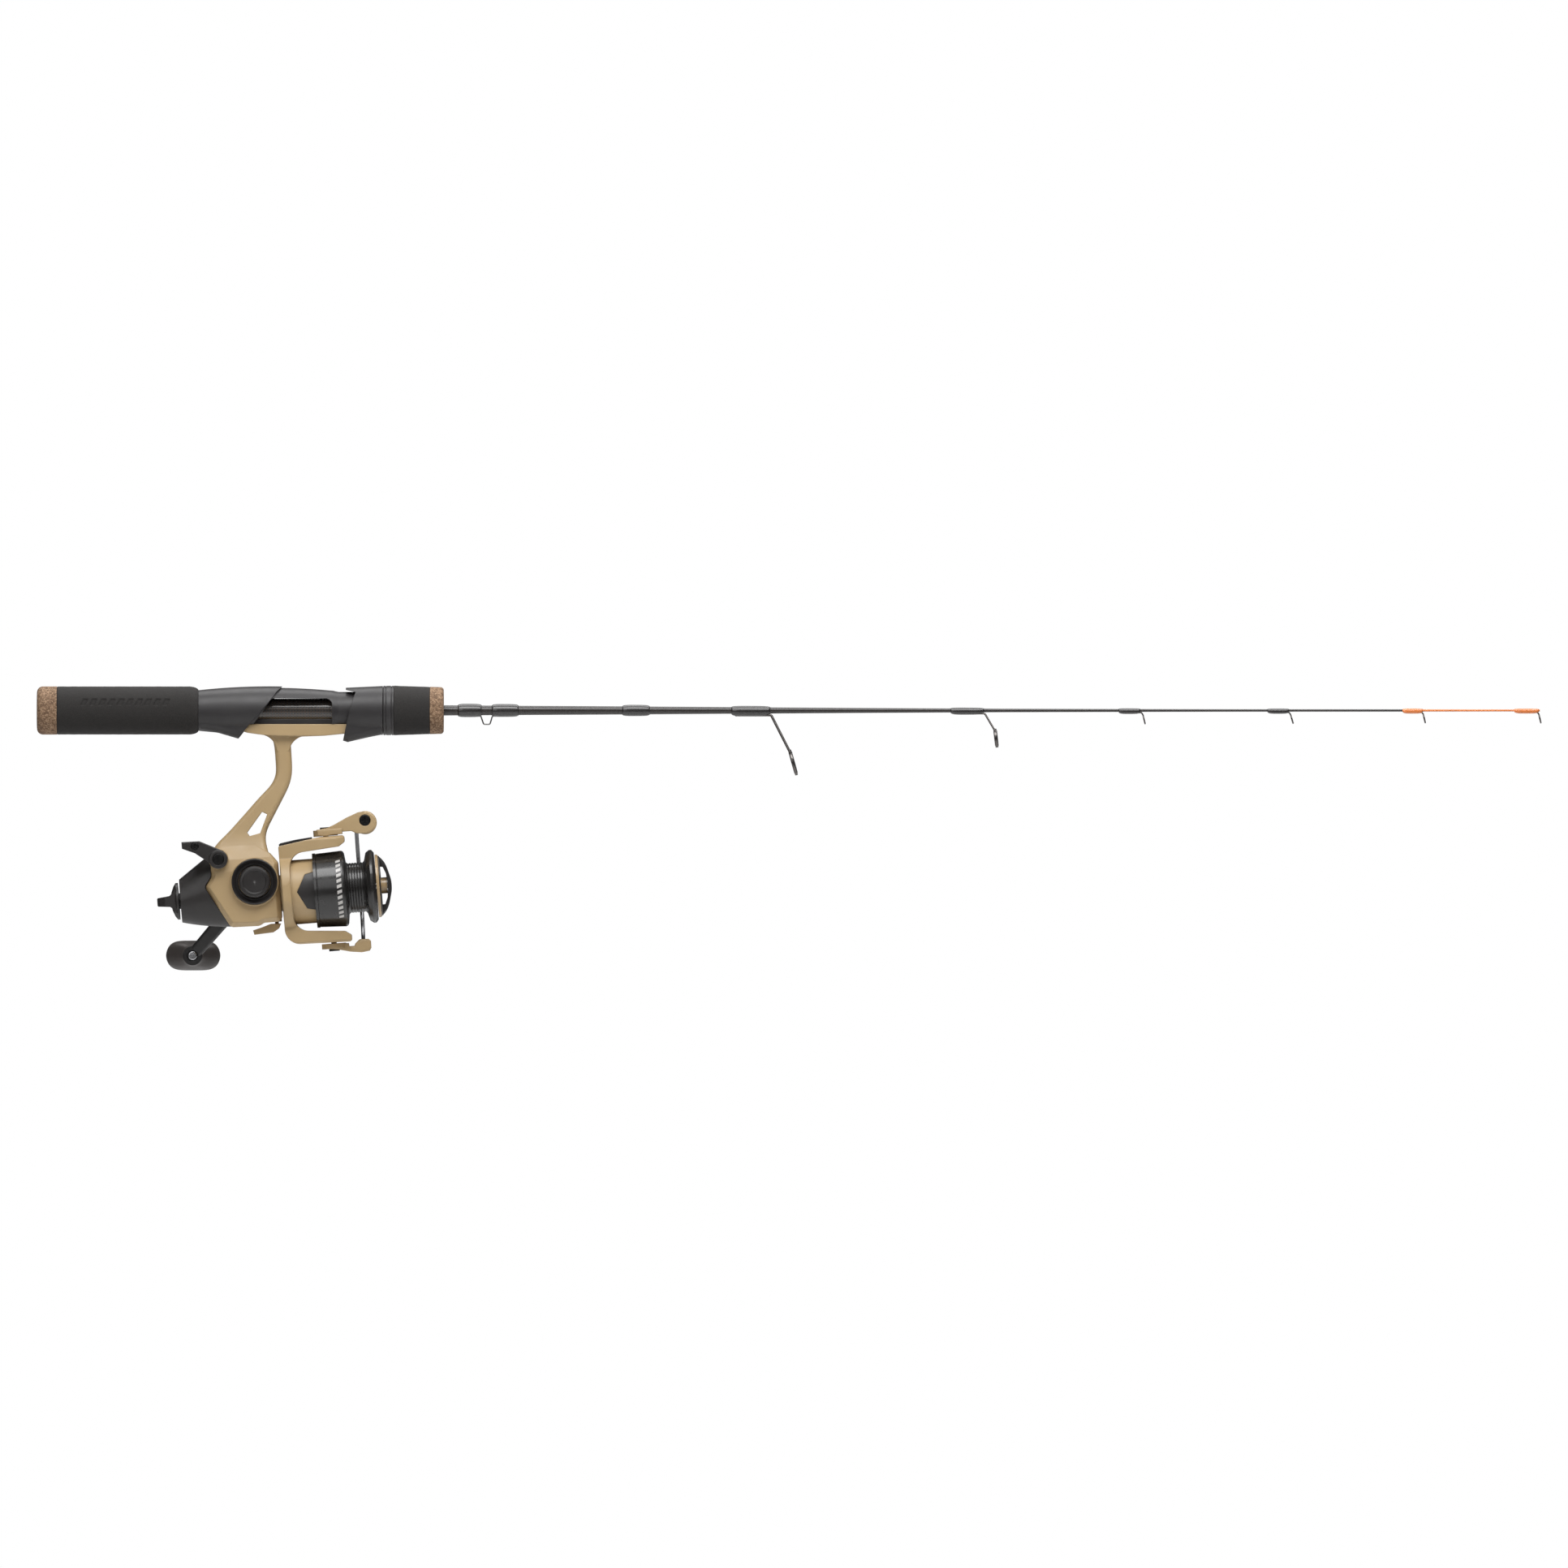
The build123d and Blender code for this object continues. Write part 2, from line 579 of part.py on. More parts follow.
def drive_gear():
    """Face gear on the crank's axle, with the small gear that drives the slider."""
    root_y, tip_y = 3.75, 2.8
    disc = turned_on_axle(
        (root_y, AXLE_R), (root_y, 10.1), (5.4, 10.1), (5.4, 5.0), (9.3, 5.0), (9.3, AXLE_R)
    )
    inner, outer = 8.2, 10.0
    pitch = 2 * math.pi * GEAR_MEAN_R / DRIVE_TEETH
    wide, narrow = 0.54 * pitch / 2, 0.26 * pitch / 2
    tooth_plane = Plane(origin=(inner, 0, 0), x_dir=(0, 0, 1), z_dir=(1, 0, 0))
    tooth = extrude(
        tooth_plane * outline(
            (-wide, -root_y - 0.2), (wide, -root_y - 0.2), (narrow, -tip_y), (-narrow, -tip_y),
        ),
        outer - inner,
    )
    tooth = Pos(GEAR_MEAN_R, 0, 0) * Rot(Y=GEAR_LEAN) * Pos(-GEAR_MEAN_R, 0, 0) * tooth
    teeth = [
        Pos(0, 0, AXLE_Z) * Rot(Y=GEAR_PHASE + 360 * i / DRIVE_TEETH) * tooth
        for i in range(DRIVE_TEETH)
    ]
    return disc + teeth


def gear_on(face, x, z, y_low, y_high, turn=0.0):
    """A spur gear solid at a place along y."""
    return prism(Pos(x, z) * Rot(Z=turn) * face, y_low, y_high)


OSC_X, OSC_Z = -9.5, 1.76


def crank_axle():
    """Axle across the housing, with the oscillation drive gear cut on it."""
    axle = turned_on_axle((-15.2, 0), (-15.2, AXLE_R), (18.0, AXLE_R), (18.0, 0))
    direction = math.degrees(math.atan2(OSC_Z - AXLE_Z, OSC_X))
    small = gear_on(
        involute_outline(OSC_DRIVE_TEETH, OSC_MODULE), 0, AXLE_Z, -8.0, -5.6, direction
    )
    return axle + small


def oscillation_gear():
    direction = math.degrees(math.atan2(AXLE_Z - OSC_Z, -OSC_X))
    gear = gear_on(
        involute_outline(OSC_TEETH, OSC_MODULE), OSC_X, OSC_Z, -7.9, -5.7,
        direction + 180 / OSC_TEETH,
    )
    gear -= across(OSC_X, OSC_Z, -10, 0, 1.5 + RUNNING)
    return gear + across(OSC_X - SPOOL_STROKE / 2, OSC_Z, -5.7, -4.0, 1.1)


def crank_arm():
    """Arm in one piece with its shank, stepped outwards to clear the bail."""
    turn = math.radians(CRANK_ANGLE)
    pin_x, pin_z = CRANK_RADIUS * math.cos(turn), CRANK_RADIUS * math.sin(turn)
    shank = turned_on_axle((18.0, 0), (18.0, 4.6), (21, 4.6), (23, 3.8), (34, 3.8), (34, 0))
    hub = turned_on_axle((32, 0), (32, 5.2), (33, 5.8), (39.5, 5.8), (40.3, 5.0), (40.3, 0))
    bar = loft([
        Plane(origin=(0, 36.2, AXLE_Z), x_dir=(0, 1, 0), z_dir=(math.cos(turn), 0, math.sin(turn)))
        * Rectangle(5.6, 8.4),
        Plane(origin=(pin_x, 44.8, AXLE_Z + pin_z), x_dir=(0, 1, 0),
              z_dir=(math.cos(turn), 0, math.sin(turn))) * Rectangle(4.0, 6.6),
    ])
    bar = fillet(bar.edges().filter_by(lambda e: e.length > 20), 1.4)
    boss = across(pin_x, AXLE_Z + pin_z, 42.6, 47.0, 4.9)
    arm = shank + hub + bar + boss
    recess = across(pin_x, AXLE_Z + pin_z, 42, 43.6, 2.9)
    return arm - recess - across(pin_x, AXLE_Z + pin_z, 40, 50, 1.6)


def knob_spindle():
    turn = math.radians(CRANK_ANGLE)
    x, z = CRANK_RADIUS * math.cos(turn), AXLE_Z + CRANK_RADIUS * math.sin(turn)
    head = across(x, z, 42.5, 43.6, 2.3)
    head = fillet(head.edges().filter_by(lambda e: e.center().Y < 43), 0.6)
    return head + across(x, z, 43.6, 66, 1.6)


def handle_knob():
    """Flat-sided paddle knob that spins on its spindle."""
    turn = math.radians(CRANK_ANGLE)
    x, z = CRANK_RADIUS * math.cos(turn), AXLE_Z + CRANK_RADIUS * math.sin(turn)
    end, waist, half = 14.0, 3.3, 7.65
    top = ThreePointArc((-end, waist), (0, half), (end, waist))
    low = ThreePointArc((end, -waist), (0, -half), (-end, -waist))
    face = make_face([top, Line(top @ 1, low @ 0), low, Line(low @ 1, top @ 0)])
    block = prism(face, KNOB_START, KNOB_END)
    plan = outline(
        (-5.2, KNOB_START), (5.2, KNOB_START), (6.6, 50.4), (14.2, 57.2), (14.2, 65.4),
        (10.6, KNOB_END), (-10.6, KNOB_END), (-14.2, 65.4), (-14.2, 57.2), (-6.6, 50.4),
    )
    block &= extrude(plan, 10, both=True)
    block = Pos(x, 0, z) * Rot(Y=REEL_TILT) * block
    return block - across(x, z, 40, 66.4, 1.6 + RUNNING)


def handle_screw_cap():
    """Dished cap that closes the axle's near end."""
    cap = turned_on_axle(
        (-15.3, 0), (-15.3, 8.0), (-17.6, 8.0), (-18.6, 7.2), (-18.8, 6.1), (-18.3, 5.6),
        (-18.1, 0),
    )
    return cap


def side_collar():
    """Ring pressed into the housing round the screw cap."""
    return turned_on_axle(
        (-13.1, 8.25), (-13.1, 11.6), (-16.2, 11.6), (-16.5, 11.2), (-14.9, 9.4), (-14.6, 8.25)
    )


def bearings():
    """Two bearings for the crank's axle and one for the pinion."""
    made = [ring(10.3, 13.2, 2.6 + 0.03, 5.5)]
    for low, high in ((-13.0, -10.0), (10.0, 13.0)):
        made.append(turned_on_axle(
            (low, AXLE_R + 0.03), (low, 5.5), (high, 5.5), (high, AXLE_R + 0.03)
        ))
    return made


def one_way_clutch():
    """Roller clutch that stops the rotor from running backwards."""
    body = ring(13.4, 18.0, 2.6 + 0.05, 8.0)
    pockets = [
        Rot(X=60 * i) * Pos(0, 0, 5.4) * box(15.0, 18.5, -1.3, 1.3, -1.0, 1.0) for i in range(6)
    ]
    return body - pockets


RAIL_Z = -4.9


def slider_rail():
    """Rail that keeps the slider upright: its rear end sits in the housing wall."""
    post = box(-1.6, 0, -2.5, 2.5, -12.6, RAIL_Z + 1.6)
    return post + Pos(0, 0, RAIL_Z) * ring(-17.6, -0.8, 0, 1.0)


def main_shaft():
    """The shaft that carries the spool; it slides through the pinion."""
    shaft = ring(-36.0, 67.0, 0, SHAFT_R)
    return shaft + ring(41.6, 43.4, 0, 5.0)


def oscillation_slider():
    """Block fixed on the shaft; the oscillation gear's pin works behind it."""
    x = OSC_X - SPOOL_STROKE / 2
    block = box(x - 2.2, x + 2.2, -3.4, 2.3, -6.7, 4.0)
    block = fillet(block.edges().filter_by(Axis.Y), 0.8)
    track = box(x - 1.4, x + 1.4, -3.5, -2.0, -3.4, 3.4)
    guide = Pos(0, 0, RAIL_Z) * ring(-60, 60, 0, 1.08)
    return block - track - ring(-60, 60, 0, SHAFT_R) - guide


# --------------------------------------------------------------------- reel: rotor
ROTOR_SIDE = [  # x, z and corner radius
    (ROTOR_BACK, 23.8, 1.0), (31.0, 26.45, 1.8), (35.0, ARM_OUTER, 1.8),
    (ARM_END, ARM_OUTER, 1.4), (ARM_END, 23.6, 1.2), (43.6, ARM_INNER, 1.8),
    (18.5, 19.4, 7.0), (18.5, -19.4, 7.0), (43.6, -ARM_INNER, 1.8),
    (ARM_END, -23.6, 1.2), (ARM_END, -ARM_OUTER, 1.4), (13.3, -26.2, 8.0),
]


def rotor():
    """Cup, C-shaped frame and the two bail arms, in one moulding."""
    cup = turned(
        (ROTOR_BACK, 10.2), (ROTOR_BACK, CUP_R), (CUP_END, CUP_R), (CUP_END, 14.7),
        (21.6, 14.7), (21.6, 2.6), (19.2, 2.6), (19.2, 10.2),
    )
    corners = [(x, z) for x, z, _ in ROTOR_SIDE]
    radii = [radius for _, _, radius in ROTOR_SIDE]
    side = make_face(FilletPolyline(*corners, radius=radii, close=True))
    frame = faceted(side, 19.4, 9.0, 0.5)
    hull = ring(0, 60, 0, 19.8) + box(0, 60, -9.6, 9.6, -40, 40)
    frame &= hull & ring(0, 60, 0, ARM_OUTER + 0.5)
    frame &= loft([
        Plane(origin=(ROTOR_BACK - 1, 0, 0), x_dir=(0, 1, 0), z_dir=(1, 0, 0)) * Rectangle(42, 70),
        Plane(origin=(ARM_END + 1, 0, 0), x_dir=(0, 1, 0), z_dir=(1, 0, 0)) * Rectangle(15, 70),
    ])
    frame -= ring(19.2, 60, 0, 15.5) + ring(28.0, 60, 0, ARM_INNER - 0.6)
    body = cup + frame - ring(0, 19.2, 0, 10.2)
    for sign in (-1, 1):
        body -= prism(outline(*HEX_INLAY), *sorted((sign * 11, sign * 20))) & ring(
            19, 45, CUP_R - 0.7, CUP_R + 0.3
        )
        body -= upright(BAIL_X, 0, *sorted((sign * 19, sign * 30)), 1.4)
    return body


HEX_INLAY = [
    (21.0, 0), (25.6, 8.6), (34, 10.5), (CUP_END, 10.5), (CUP_END, -10.5), (34, -10.5),
    (25.6, -8.6),
]


def rotor_inlays():
    """Dark panels let into the two sides of the rotor cup."""
    made = []
    for sign in (-1, 1):
        made.append(
            prism(outline(*HEX_INLAY), *sorted((sign * 11, sign * 20)))
            & ring(15, CUP_END, CUP_R - 0.7, CUP_R - 0.02)
        )
    return made


def rotor_arm_cover():
    """Cover over the bail spring on the upper arm."""
    cover = prism(
        outline((13.6, 23.9), (13.6, 24.7), (14.4, 25.3), (22, 26.5), (30.4, 27.2), (30.4, 26.4)),
        -8.5, 8.5,
    )
    return cover & ring(0, 60, 0, 28.4)


def rotor_nut():
    nut = extrude(
        Plane(origin=(21.6, 0, 0), x_dir=(0, 1, 0), z_dir=(1, 0, 0)) * RegularPolygon(5.2, 6), 2.8
    )
    return nut - ring(20, 24, 0, 2.6) - ring(23.5, 26, 0, 2.5)


def bail_pivot_screws():
    made = []
    for sign, head in ((1, 31.6), (-1, 31.2)):
        stem = upright(BAIL_X, 0, *sorted((sign * 21.0, sign * (head - 1.0))), 1.4)
        cap = upright(BAIL_X, 0, *sorted((sign * (head - 1.2), sign * head)), 2.7)
        made.append(stem + cap)
    return made


# ---------------------------------------------------------------------- reel: bail
ROLLER_X, ROLLER_Z, ROLLER_R = 57.9, 32.4, 5.9


def bail_arm():
    """Arm lever on the upper pivot, with the round end that holds the line roller."""
    boss = upright(BAIL_X, 0, ARM_OUTER + 0.15, 30.3, 6.2)
    side = outline(
        (33, 27.6), (33, 30.6), (38.5, 31.2), (42.2, 32.6), (48.5, 35.6), (54.6, 37.9),
        (ROLLER_X, 38.3), (62.6, 35.6), (62.6, 29.0), (ROLLER_X, 26.8), (53.2, 27.3),
        (50.6, 28.7), (46.0, 28.7), (45.4, 27.6),
    )
    arm = prism(side, -4.2, 1.6)
    arm &= prism(
        outline((20, 20), (20, 32), (ROLLER_X, 50), (80, 50), (80, 20)), -10, 10
    )
    web = box(33.5, 46, -6.0, 5.0, 27.55, 30.3)
    end = across(ROLLER_X, ROLLER_Z, -4.2, 1.6, ROLLER_R)
    end = fillet(end.edges().filter_by(lambda e: e.center().Y < -4), 1.2)
    keep = prism(outline((20, 20), (20, 40), (ROLLER_X, 40), (ROLLER_X, 20)), -10, 10)
    lever = boss + (arm & keep) + (web & upright(BAIL_X, 0, 26, 32, 10.5)) + end
    lever -= across(ROLLER_X, ROLLER_Z + 1.2, -6, -3.4, 2.9) + across(ROLLER_X, ROLLER_Z, -6, 4, 1.3)
    return lever - upright(BAIL_X, 0, 20, 40, 1.4 + RUNNING) - upright(BAIL_X, 0, 30.3, 34, 2.9)


def roller_screw():
    head = across(ROLLER_X, ROLLER_Z + 1.2, -4.4, -3.45, 2.8)
    head = fillet(head.edges().filter_by(lambda e: e.center().Y < -4.3), 0.4)
    head -= cross_head(ROLLER_X, ROLLER_Z + 1.2, -4.4, 2.8)
    return head + across(ROLLER_X, ROLLER_Z, -3.5, 7.4, 1.25)


def line_roller():
    """Grooved roller that the line runs over."""
    groove = turned(
        (1.9, 1.25 + RUNNING), (1.9, 5.4), (2.6, 5.4), (3.4, 4.4), (5.4, 4.4), (6.2, 5.4), (6.9, 5.4),
        (6.9, 1.25 + RUNNING),
    )
    return Pos(ROLLER_X, 0, ROLLER_Z) * Rot(Z=90) * groove


def bail_trip_arm():
    """Arm on the lower pivot that takes the other end of the bail wire."""
    boss = upright(BAIL_X, 0, -30.0, -ARM_OUTER - 0.35, 6.2)
    side = outline(
        (33, -27.7), (33, -29.8), (39.7, -30.6), (45.4, -32.1), (51.3, -32.9), (55.3, -32.4),
        (56.2, -30.9), (56.2, -27.4), (55.1, -26.3), (50.5, -26.2), (48.3, -28.1),
        (47.7, -29.3), (45.2, -29.3), (45.0, -27.7),
    )
    arm = prism(side, -3.4, 3.4)
    arm = fillet([e for e in arm.edges() if abs(e.center().Y) > 3.3 and e.center().X > 46], 1.0)
    lever = boss + arm
    lever -= upright(BAIL_X, 0, -40, -20, 1.4 + RUNNING)
    return lever - upright(BAIL_X, 0, -34, -29.95, 2.9)


WIRE_R = 1.0
BAIL_REACH = 38.5             # how far the wire bows out sideways from the spool axis


def bail_wire():
    """The bail: a round wire bowed from the line roller to the trip arm."""
    start = (53.0, 9.6, 30.6)
    bow = Spline(
        start, (52.9, 20.5, 28.6), (52.7, 30.8, 22.0), (52.6, 36.8, 12.0),
        (52.5, BAIL_REACH, 0.5), (52.4, 36.6, -11.0), (52.3, 30.2, -21.0),
        (52.1, 19.0, -27.6), (52.0, 9.0, -29.2), (52.0, 3.3, -29.3),
    )
    section = Plane(origin=bow @ 0, z_dir=bow % 0) * Circle(WIRE_R)
    cap_outline = turned((7.4, 0), (7.4, 5.2), (8.4, 5.0), (9.6, 3.4), (10.2, 1.6), (10.2, 0))
    cap = Pos(ROLLER_X, 0, ROLLER_Z) * Rot(Z=90) * cap_outline
    bridge = wire([(ROLLER_X - 0.5, 8.7, ROLLER_Z - 0.5), (55.6, 9.2, 31.4), start], 0.5, 0.95)
    return cap + bridge + sweep(section, bow)


# --------------------------------------------------------------------- reel: spool
def spool():
    """Skirted spool: skirt, grooved arbor, front lip and the drag's well."""
    groove = 0.3
    arbor = []
    pitch = 1.4
    for i in range(6):
        x = SKIRT_END + 1.4 + pitch * i
        arbor += [(x, ARBOR_R), (x + 0.35, ARBOR_R - groove), (x + 0.7, ARBOR_R)]
    return turned(
        (SKIRT_START, 17.4), (SKIRT_START, 18.8), (31.2, 18.9), (31.5, 18.5), (31.8, 18.6),
        (44.6, SKIRT_R), (45.5, 18.7), (SKIRT_END, 17.8), (SKIRT_END + 0.6, ARBOR_R + 0.6),
        (SKIRT_END + 1.2, ARBOR_R), *arbor, (LIP_START - 0.6, ARBOR_R), (LIP_START, ARBOR_R + 0.8),
        (56.8, 17.2), (58.6, LIP_R), (59.8, LIP_R), (LIP_END, 17.0), (LIP_END, 15.0), (60.2, 14.6),
        (60.2, 10.6), (49.4, 10.6), (49.4, SHAFT_R + RUNNING), (43.8, SHAFT_R + RUNNING),
        (43.8, 5.4), (45.2, 6.4), (45.2, 16.4), (44.0, 17.6), (33.0, 17.4),
    )


def drag_washers():
    made = []
    for i in range(5):
        low = 49.6 + 1.7 * i
        made.append(ring(low, low + 1.4, SHAFT_R + 0.1, 10.2 if i % 2 else 9.6))
    return made


# ---------------------------------------------------------------- reel: drag knobs
KNOB_BASE = LIP_END + 0.35


def drag_knob_base():
    """Coloured base ring and hub nut of the front drag knob."""
    ring_part = turned(
        (KNOB_BASE, SHAFT_R + RUNNING), (KNOB_BASE, 15.9), (KNOB_BASE + 1.0, 15.9),
        (KNOB_BASE + 1.5, 15.4), (KNOB_BASE + 1.5, 4.1), (66.6, 4.1), (66.6, SHAFT_R + RUNNING),
    )
    return ring_part


def drag_knob():
    """Arched grip over the hub, open on both sides."""
    base_x = KNOB_BASE + 1.5
    dome = Spline(
        (base_x, 15.3), (66.2, 11.3), (68.1, 5.4), (68.9, 0.0), tangents=((1.2, -0.9), (0, -1))
    )
    bow = turned_face(make_face([dome, Polyline(dome @ 1, (base_x, 0), dome @ 0)]))
    bow &= box(50, 80, -5.0, 5.0, -20, 20)
    bow += ring(base_x, base_x + 0.7, 10.5, 15.0)
    sight = outline(
        (base_x - 0.1, -9.6), (base_x - 0.1, 9.6), (65.0, 9.4), (66.4, 6.0), (67.0, 0),
        (66.4, -6.0), (65.0, -9.4),
    )
    return bow - prism(sight, -5.1, 5.1) - ring(50, 67.3, 0, 4.2)


def rear_drag_knob():
    """Knob for the feeder drag: a round flange with a thin wing."""
    flange = turned(
        (-39.0, 0), (-39.0, 9.3), (-40.2, 9.3), (-41.4, 7.6), (-42.6, 4.6), (-43.4, 0)
    )
    plug = ring(-39.2, -36.4, 0, 4.0)
    rise = outline((-40, -6.5), (-41.8, -4.0), (-43.6, -2.6), (-49.6, -2.0), (-50.0, -1.6),
                   (-50.0, 1.9), (-49.6, 2.3), (-43.6, 3.0), (-41.8, 4.6), (-40, 6.5))
    plan = outline((-39.5, -8.4), (-46, -7.8), (-49, -6.4), (-50.2, -4), (-50.2, 4), (-49, 6.4),
                   (-46, 7.8), (-39.5, 8.4))
    wing = prism(rise, -9, 9) & extrude(plan, 12, both=True)
    return flange + wing + plug


# -------------------------------------------------------------------- reel: levers
LEVER_X, LEVER_Z = -17.4, 19.6


def feeder_lever():
    """Lever that frees the spool, with a cross bar for the finger."""
    blade = prism(
        outline(
            (-35.3, 29.7), (-35.3, 26.3), (-28.9, 23.5), (-22.8, 18.8), (-20.0, 16.0),
            (-14.4, 23.6), (-26.3, 29.5),
        ), -17.2, -14.4,
    )
    blade = fillet([e for e in blade.edges() if e.center().Y < -17.1], 0.6)
    boss = across(LEVER_X, LEVER_Z, -17.9, -14.0, 4.8)
    boss = fillet(boss.edges().filter_by(lambda e: e.center().Y < -17.5), 0.8)
    bar = prism(outline((-35.0, 29.4), (-35.0, 26.6), (-29.6, 24.9), (-27.6, 29.1)), -14.4, 6.0)
    pin = across(LEVER_X, LEVER_Z, -14.0, -10.4, 1.5)
    lever = blade + boss + bar + pin
    lever -= across(LEVER_X, LEVER_Z, -20, -16.9, 3.0)
    return lever - across(-28.7, 27.1, -20, -16.4, 2.0)


def feeder_lever_screws():
    made = []
    for x, z, top, low, r in ((LEVER_X, LEVER_Z, -18.1, -16.9, 2.8), (-28.7, 27.1, -17.5, -16.4, 1.9)):
        head = across(x, z, top, low, r)
        head = fillet(head.edges().filter_by(lambda e: e.center().Y < top + 0.1), 0.35)
        made.append(head - cross_head(x, z, top, r))
    return made


def anti_reverse_lever():
    """Switch under the body that lets the handle turn backwards."""
    tab = prism(
        outline(
            (-2.8, -17.6), (-2.3, -19.9), (7.4, -19.4), (10.4, -17.6), (11.6, -15.2),
            (6.4, -15.0), (1.6, -16.5),
        ), -3.2, 3.2,
    )
    return tab + upright(9.5, 0, -15.4, -10.8, 1.0)


# ------------------------------------------------------------------------- assembly
def rod_nodes():
    """The nodes that are built straight in the rod's frame."""
    rod, tip = blank(), tip_section()
    nodes = {
        "butt_cap": butt_cap(),
        "rear_grip": rear_grip(),
        "handle_tube": handle_tube(),
        "blank": rod,
        "tip_section": tip,
        "blank_bushings": blank_bushings(),
        "reel_seat": reel_seat(),
        "front_hood": front_hood(),
        "lock_nut": lock_nut(),
        "fore_grip": fore_grip(),
        "fore_cork": fore_cork(),
        "hook_keeper": hook_keeper(),
    }
    nodes["guide_rings"] = []
    for name in ("guide_1", "guide_2"):
        nodes[name + "_frame"], insert = large_guide(name)
        nodes["guide_rings"].append(insert)
    for name in ("guide_3", "guide_4", "guide_5", "tip_guide"):
        nodes[name] = wire_guide(name)
    keeper_wraps = [wrap(212.9, 225.0, 0.8), wrap(230.1, 243.7, 0.8)]
    nodes["keeper_wraps"] = [largest(w - rod - nodes["hook_keeper"]) for w in keeper_wraps]
    dark = [largest(wrap(296.1, 310.1, 0.75) - rod)]
    for name in ("guide_1", "guide_2", "guide_3", "guide_4"):
        low, high, swell = GUIDES[name][:3]
        frame = nodes.get(name + "_frame", nodes.get(name))
        dark.append(largest(wrap(low, high, swell, drop=0.35) - rod - frame))
    nodes["guide_wraps"] = dark
    bright = []
    for name in ("guide_5", "tip_guide"):
        low, high, swell = GUIDES[name][:3]
        bright.append(largest(wrap(low + 0.01, high, swell, drop=0.3) - tip - nodes[name]))
    nodes["tip_wraps"] = bright
    for name in ("guide_1_frame", "guide_2_frame", "guide_3", "guide_4"):
        nodes[name] = nodes[name] - rod
    for name in ("guide_5", "tip_guide"):
        nodes[name] = nodes[name] - tip
    return nodes


def reel_nodes():
    """The nodes that are built in the reel's frame."""
    return {
        "side_cover": side_cover(),
        "rear_cover": rear_cover(),
        "cover_screws": cover_screws(),
        "side_collar": side_collar(),
        "bearings": bearings(),
        "one_way_clutch": one_way_clutch(),
        "slider_rail": slider_rail(),
        "feeder_drag_stack": feeder_drag_stack(),
        "drive_gear": drive_gear(),
        "crank_axle": crank_axle(),
        "crank_arm": crank_arm(),
        "handle_screw_cap": handle_screw_cap(),
        "knob_spindle": knob_spindle(),
        "handle_knob": handle_knob(),
        "oscillation_gear": oscillation_gear(),
        "pinion": pinion(),
        "rotor": rotor(),
        "rotor_nut": rotor_nut(),
        "rotor_arm_cover": rotor_arm_cover(),
        "rotor_inlays": rotor_inlays(),
        "bail_pivot_screws": bail_pivot_screws(),
        "bail_arm": bail_arm(),
        "bail_trip_arm": bail_trip_arm(),
        "bail_wire": bail_wire(),
        "roller_screw": roller_screw(),
        "line_roller": line_roller(),
        "main_shaft": main_shaft(),
        "oscillation_slider": oscillation_slider(),
        "spool": spool(),
        "drag_washers": drag_washers(),
        "drag_knob": drag_knob(),
        "drag_knob_base": drag_knob_base(),
        "rear_drag_knob": rear_drag_knob(),
        "feeder_lever": feeder_lever(),
        "feeder_lever_screws": feeder_lever_screws(),
        "anti_reverse_lever": anti_reverse_lever(),
    }


def largest(shape):
    """The shape's main solid, without the slivers a cut can leave."""
    return max(shape.solids(), key=lambda solid: solid.volume)


def solids_of(shape):
    """The separate solids of a part or of a list of parts."""
    parts = shape if isinstance(shape, list) else [shape]
    return [solid for part in parts for solid in part.solids()]


def main():
    os.makedirs("parts", exist_ok=True)
    shapes = rod_nodes()
    shapes["reel_body"] = reel_body()
    for name, shape in reel_nodes().items():
        shapes[name] = [REEL_FRAME.location * solid for solid in solids_of(shape)]
    for name, shape in shapes.items():
        solids = solids_of(shape)
        whole = solids[0] if len(solids) == 1 else Compound(children=solids)
        export_step(whole, f"parts/{name}.step")


main()
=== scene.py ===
"""Looks for the ice fishing rod and its reel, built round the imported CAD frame."""

import json
import math

import bmesh
import bpy
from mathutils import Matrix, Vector, noise


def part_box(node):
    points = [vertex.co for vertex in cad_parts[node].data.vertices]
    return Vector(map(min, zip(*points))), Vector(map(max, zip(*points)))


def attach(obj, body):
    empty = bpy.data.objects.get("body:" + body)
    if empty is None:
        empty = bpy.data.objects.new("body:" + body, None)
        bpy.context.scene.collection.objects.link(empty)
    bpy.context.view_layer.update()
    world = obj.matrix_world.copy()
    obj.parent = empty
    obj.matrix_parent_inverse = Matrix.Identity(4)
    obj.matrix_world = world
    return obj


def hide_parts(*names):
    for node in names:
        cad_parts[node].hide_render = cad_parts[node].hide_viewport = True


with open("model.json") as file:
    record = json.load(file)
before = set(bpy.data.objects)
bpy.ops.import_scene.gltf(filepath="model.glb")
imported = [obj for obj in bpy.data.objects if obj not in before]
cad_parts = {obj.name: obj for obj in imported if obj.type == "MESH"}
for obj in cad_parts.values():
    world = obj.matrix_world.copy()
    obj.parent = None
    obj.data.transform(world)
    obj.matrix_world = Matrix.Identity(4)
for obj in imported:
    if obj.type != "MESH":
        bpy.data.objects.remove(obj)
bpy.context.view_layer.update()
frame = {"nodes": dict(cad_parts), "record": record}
nodes = frame["nodes"]

MM = 0.001
REEL_ORIGIN = Vector((110.8, 0.0, -93.5)) * MM  # on the spool axis, below the handle axle
REEL_TILT = math.radians(4.4)  # how far the reel leans in its seat


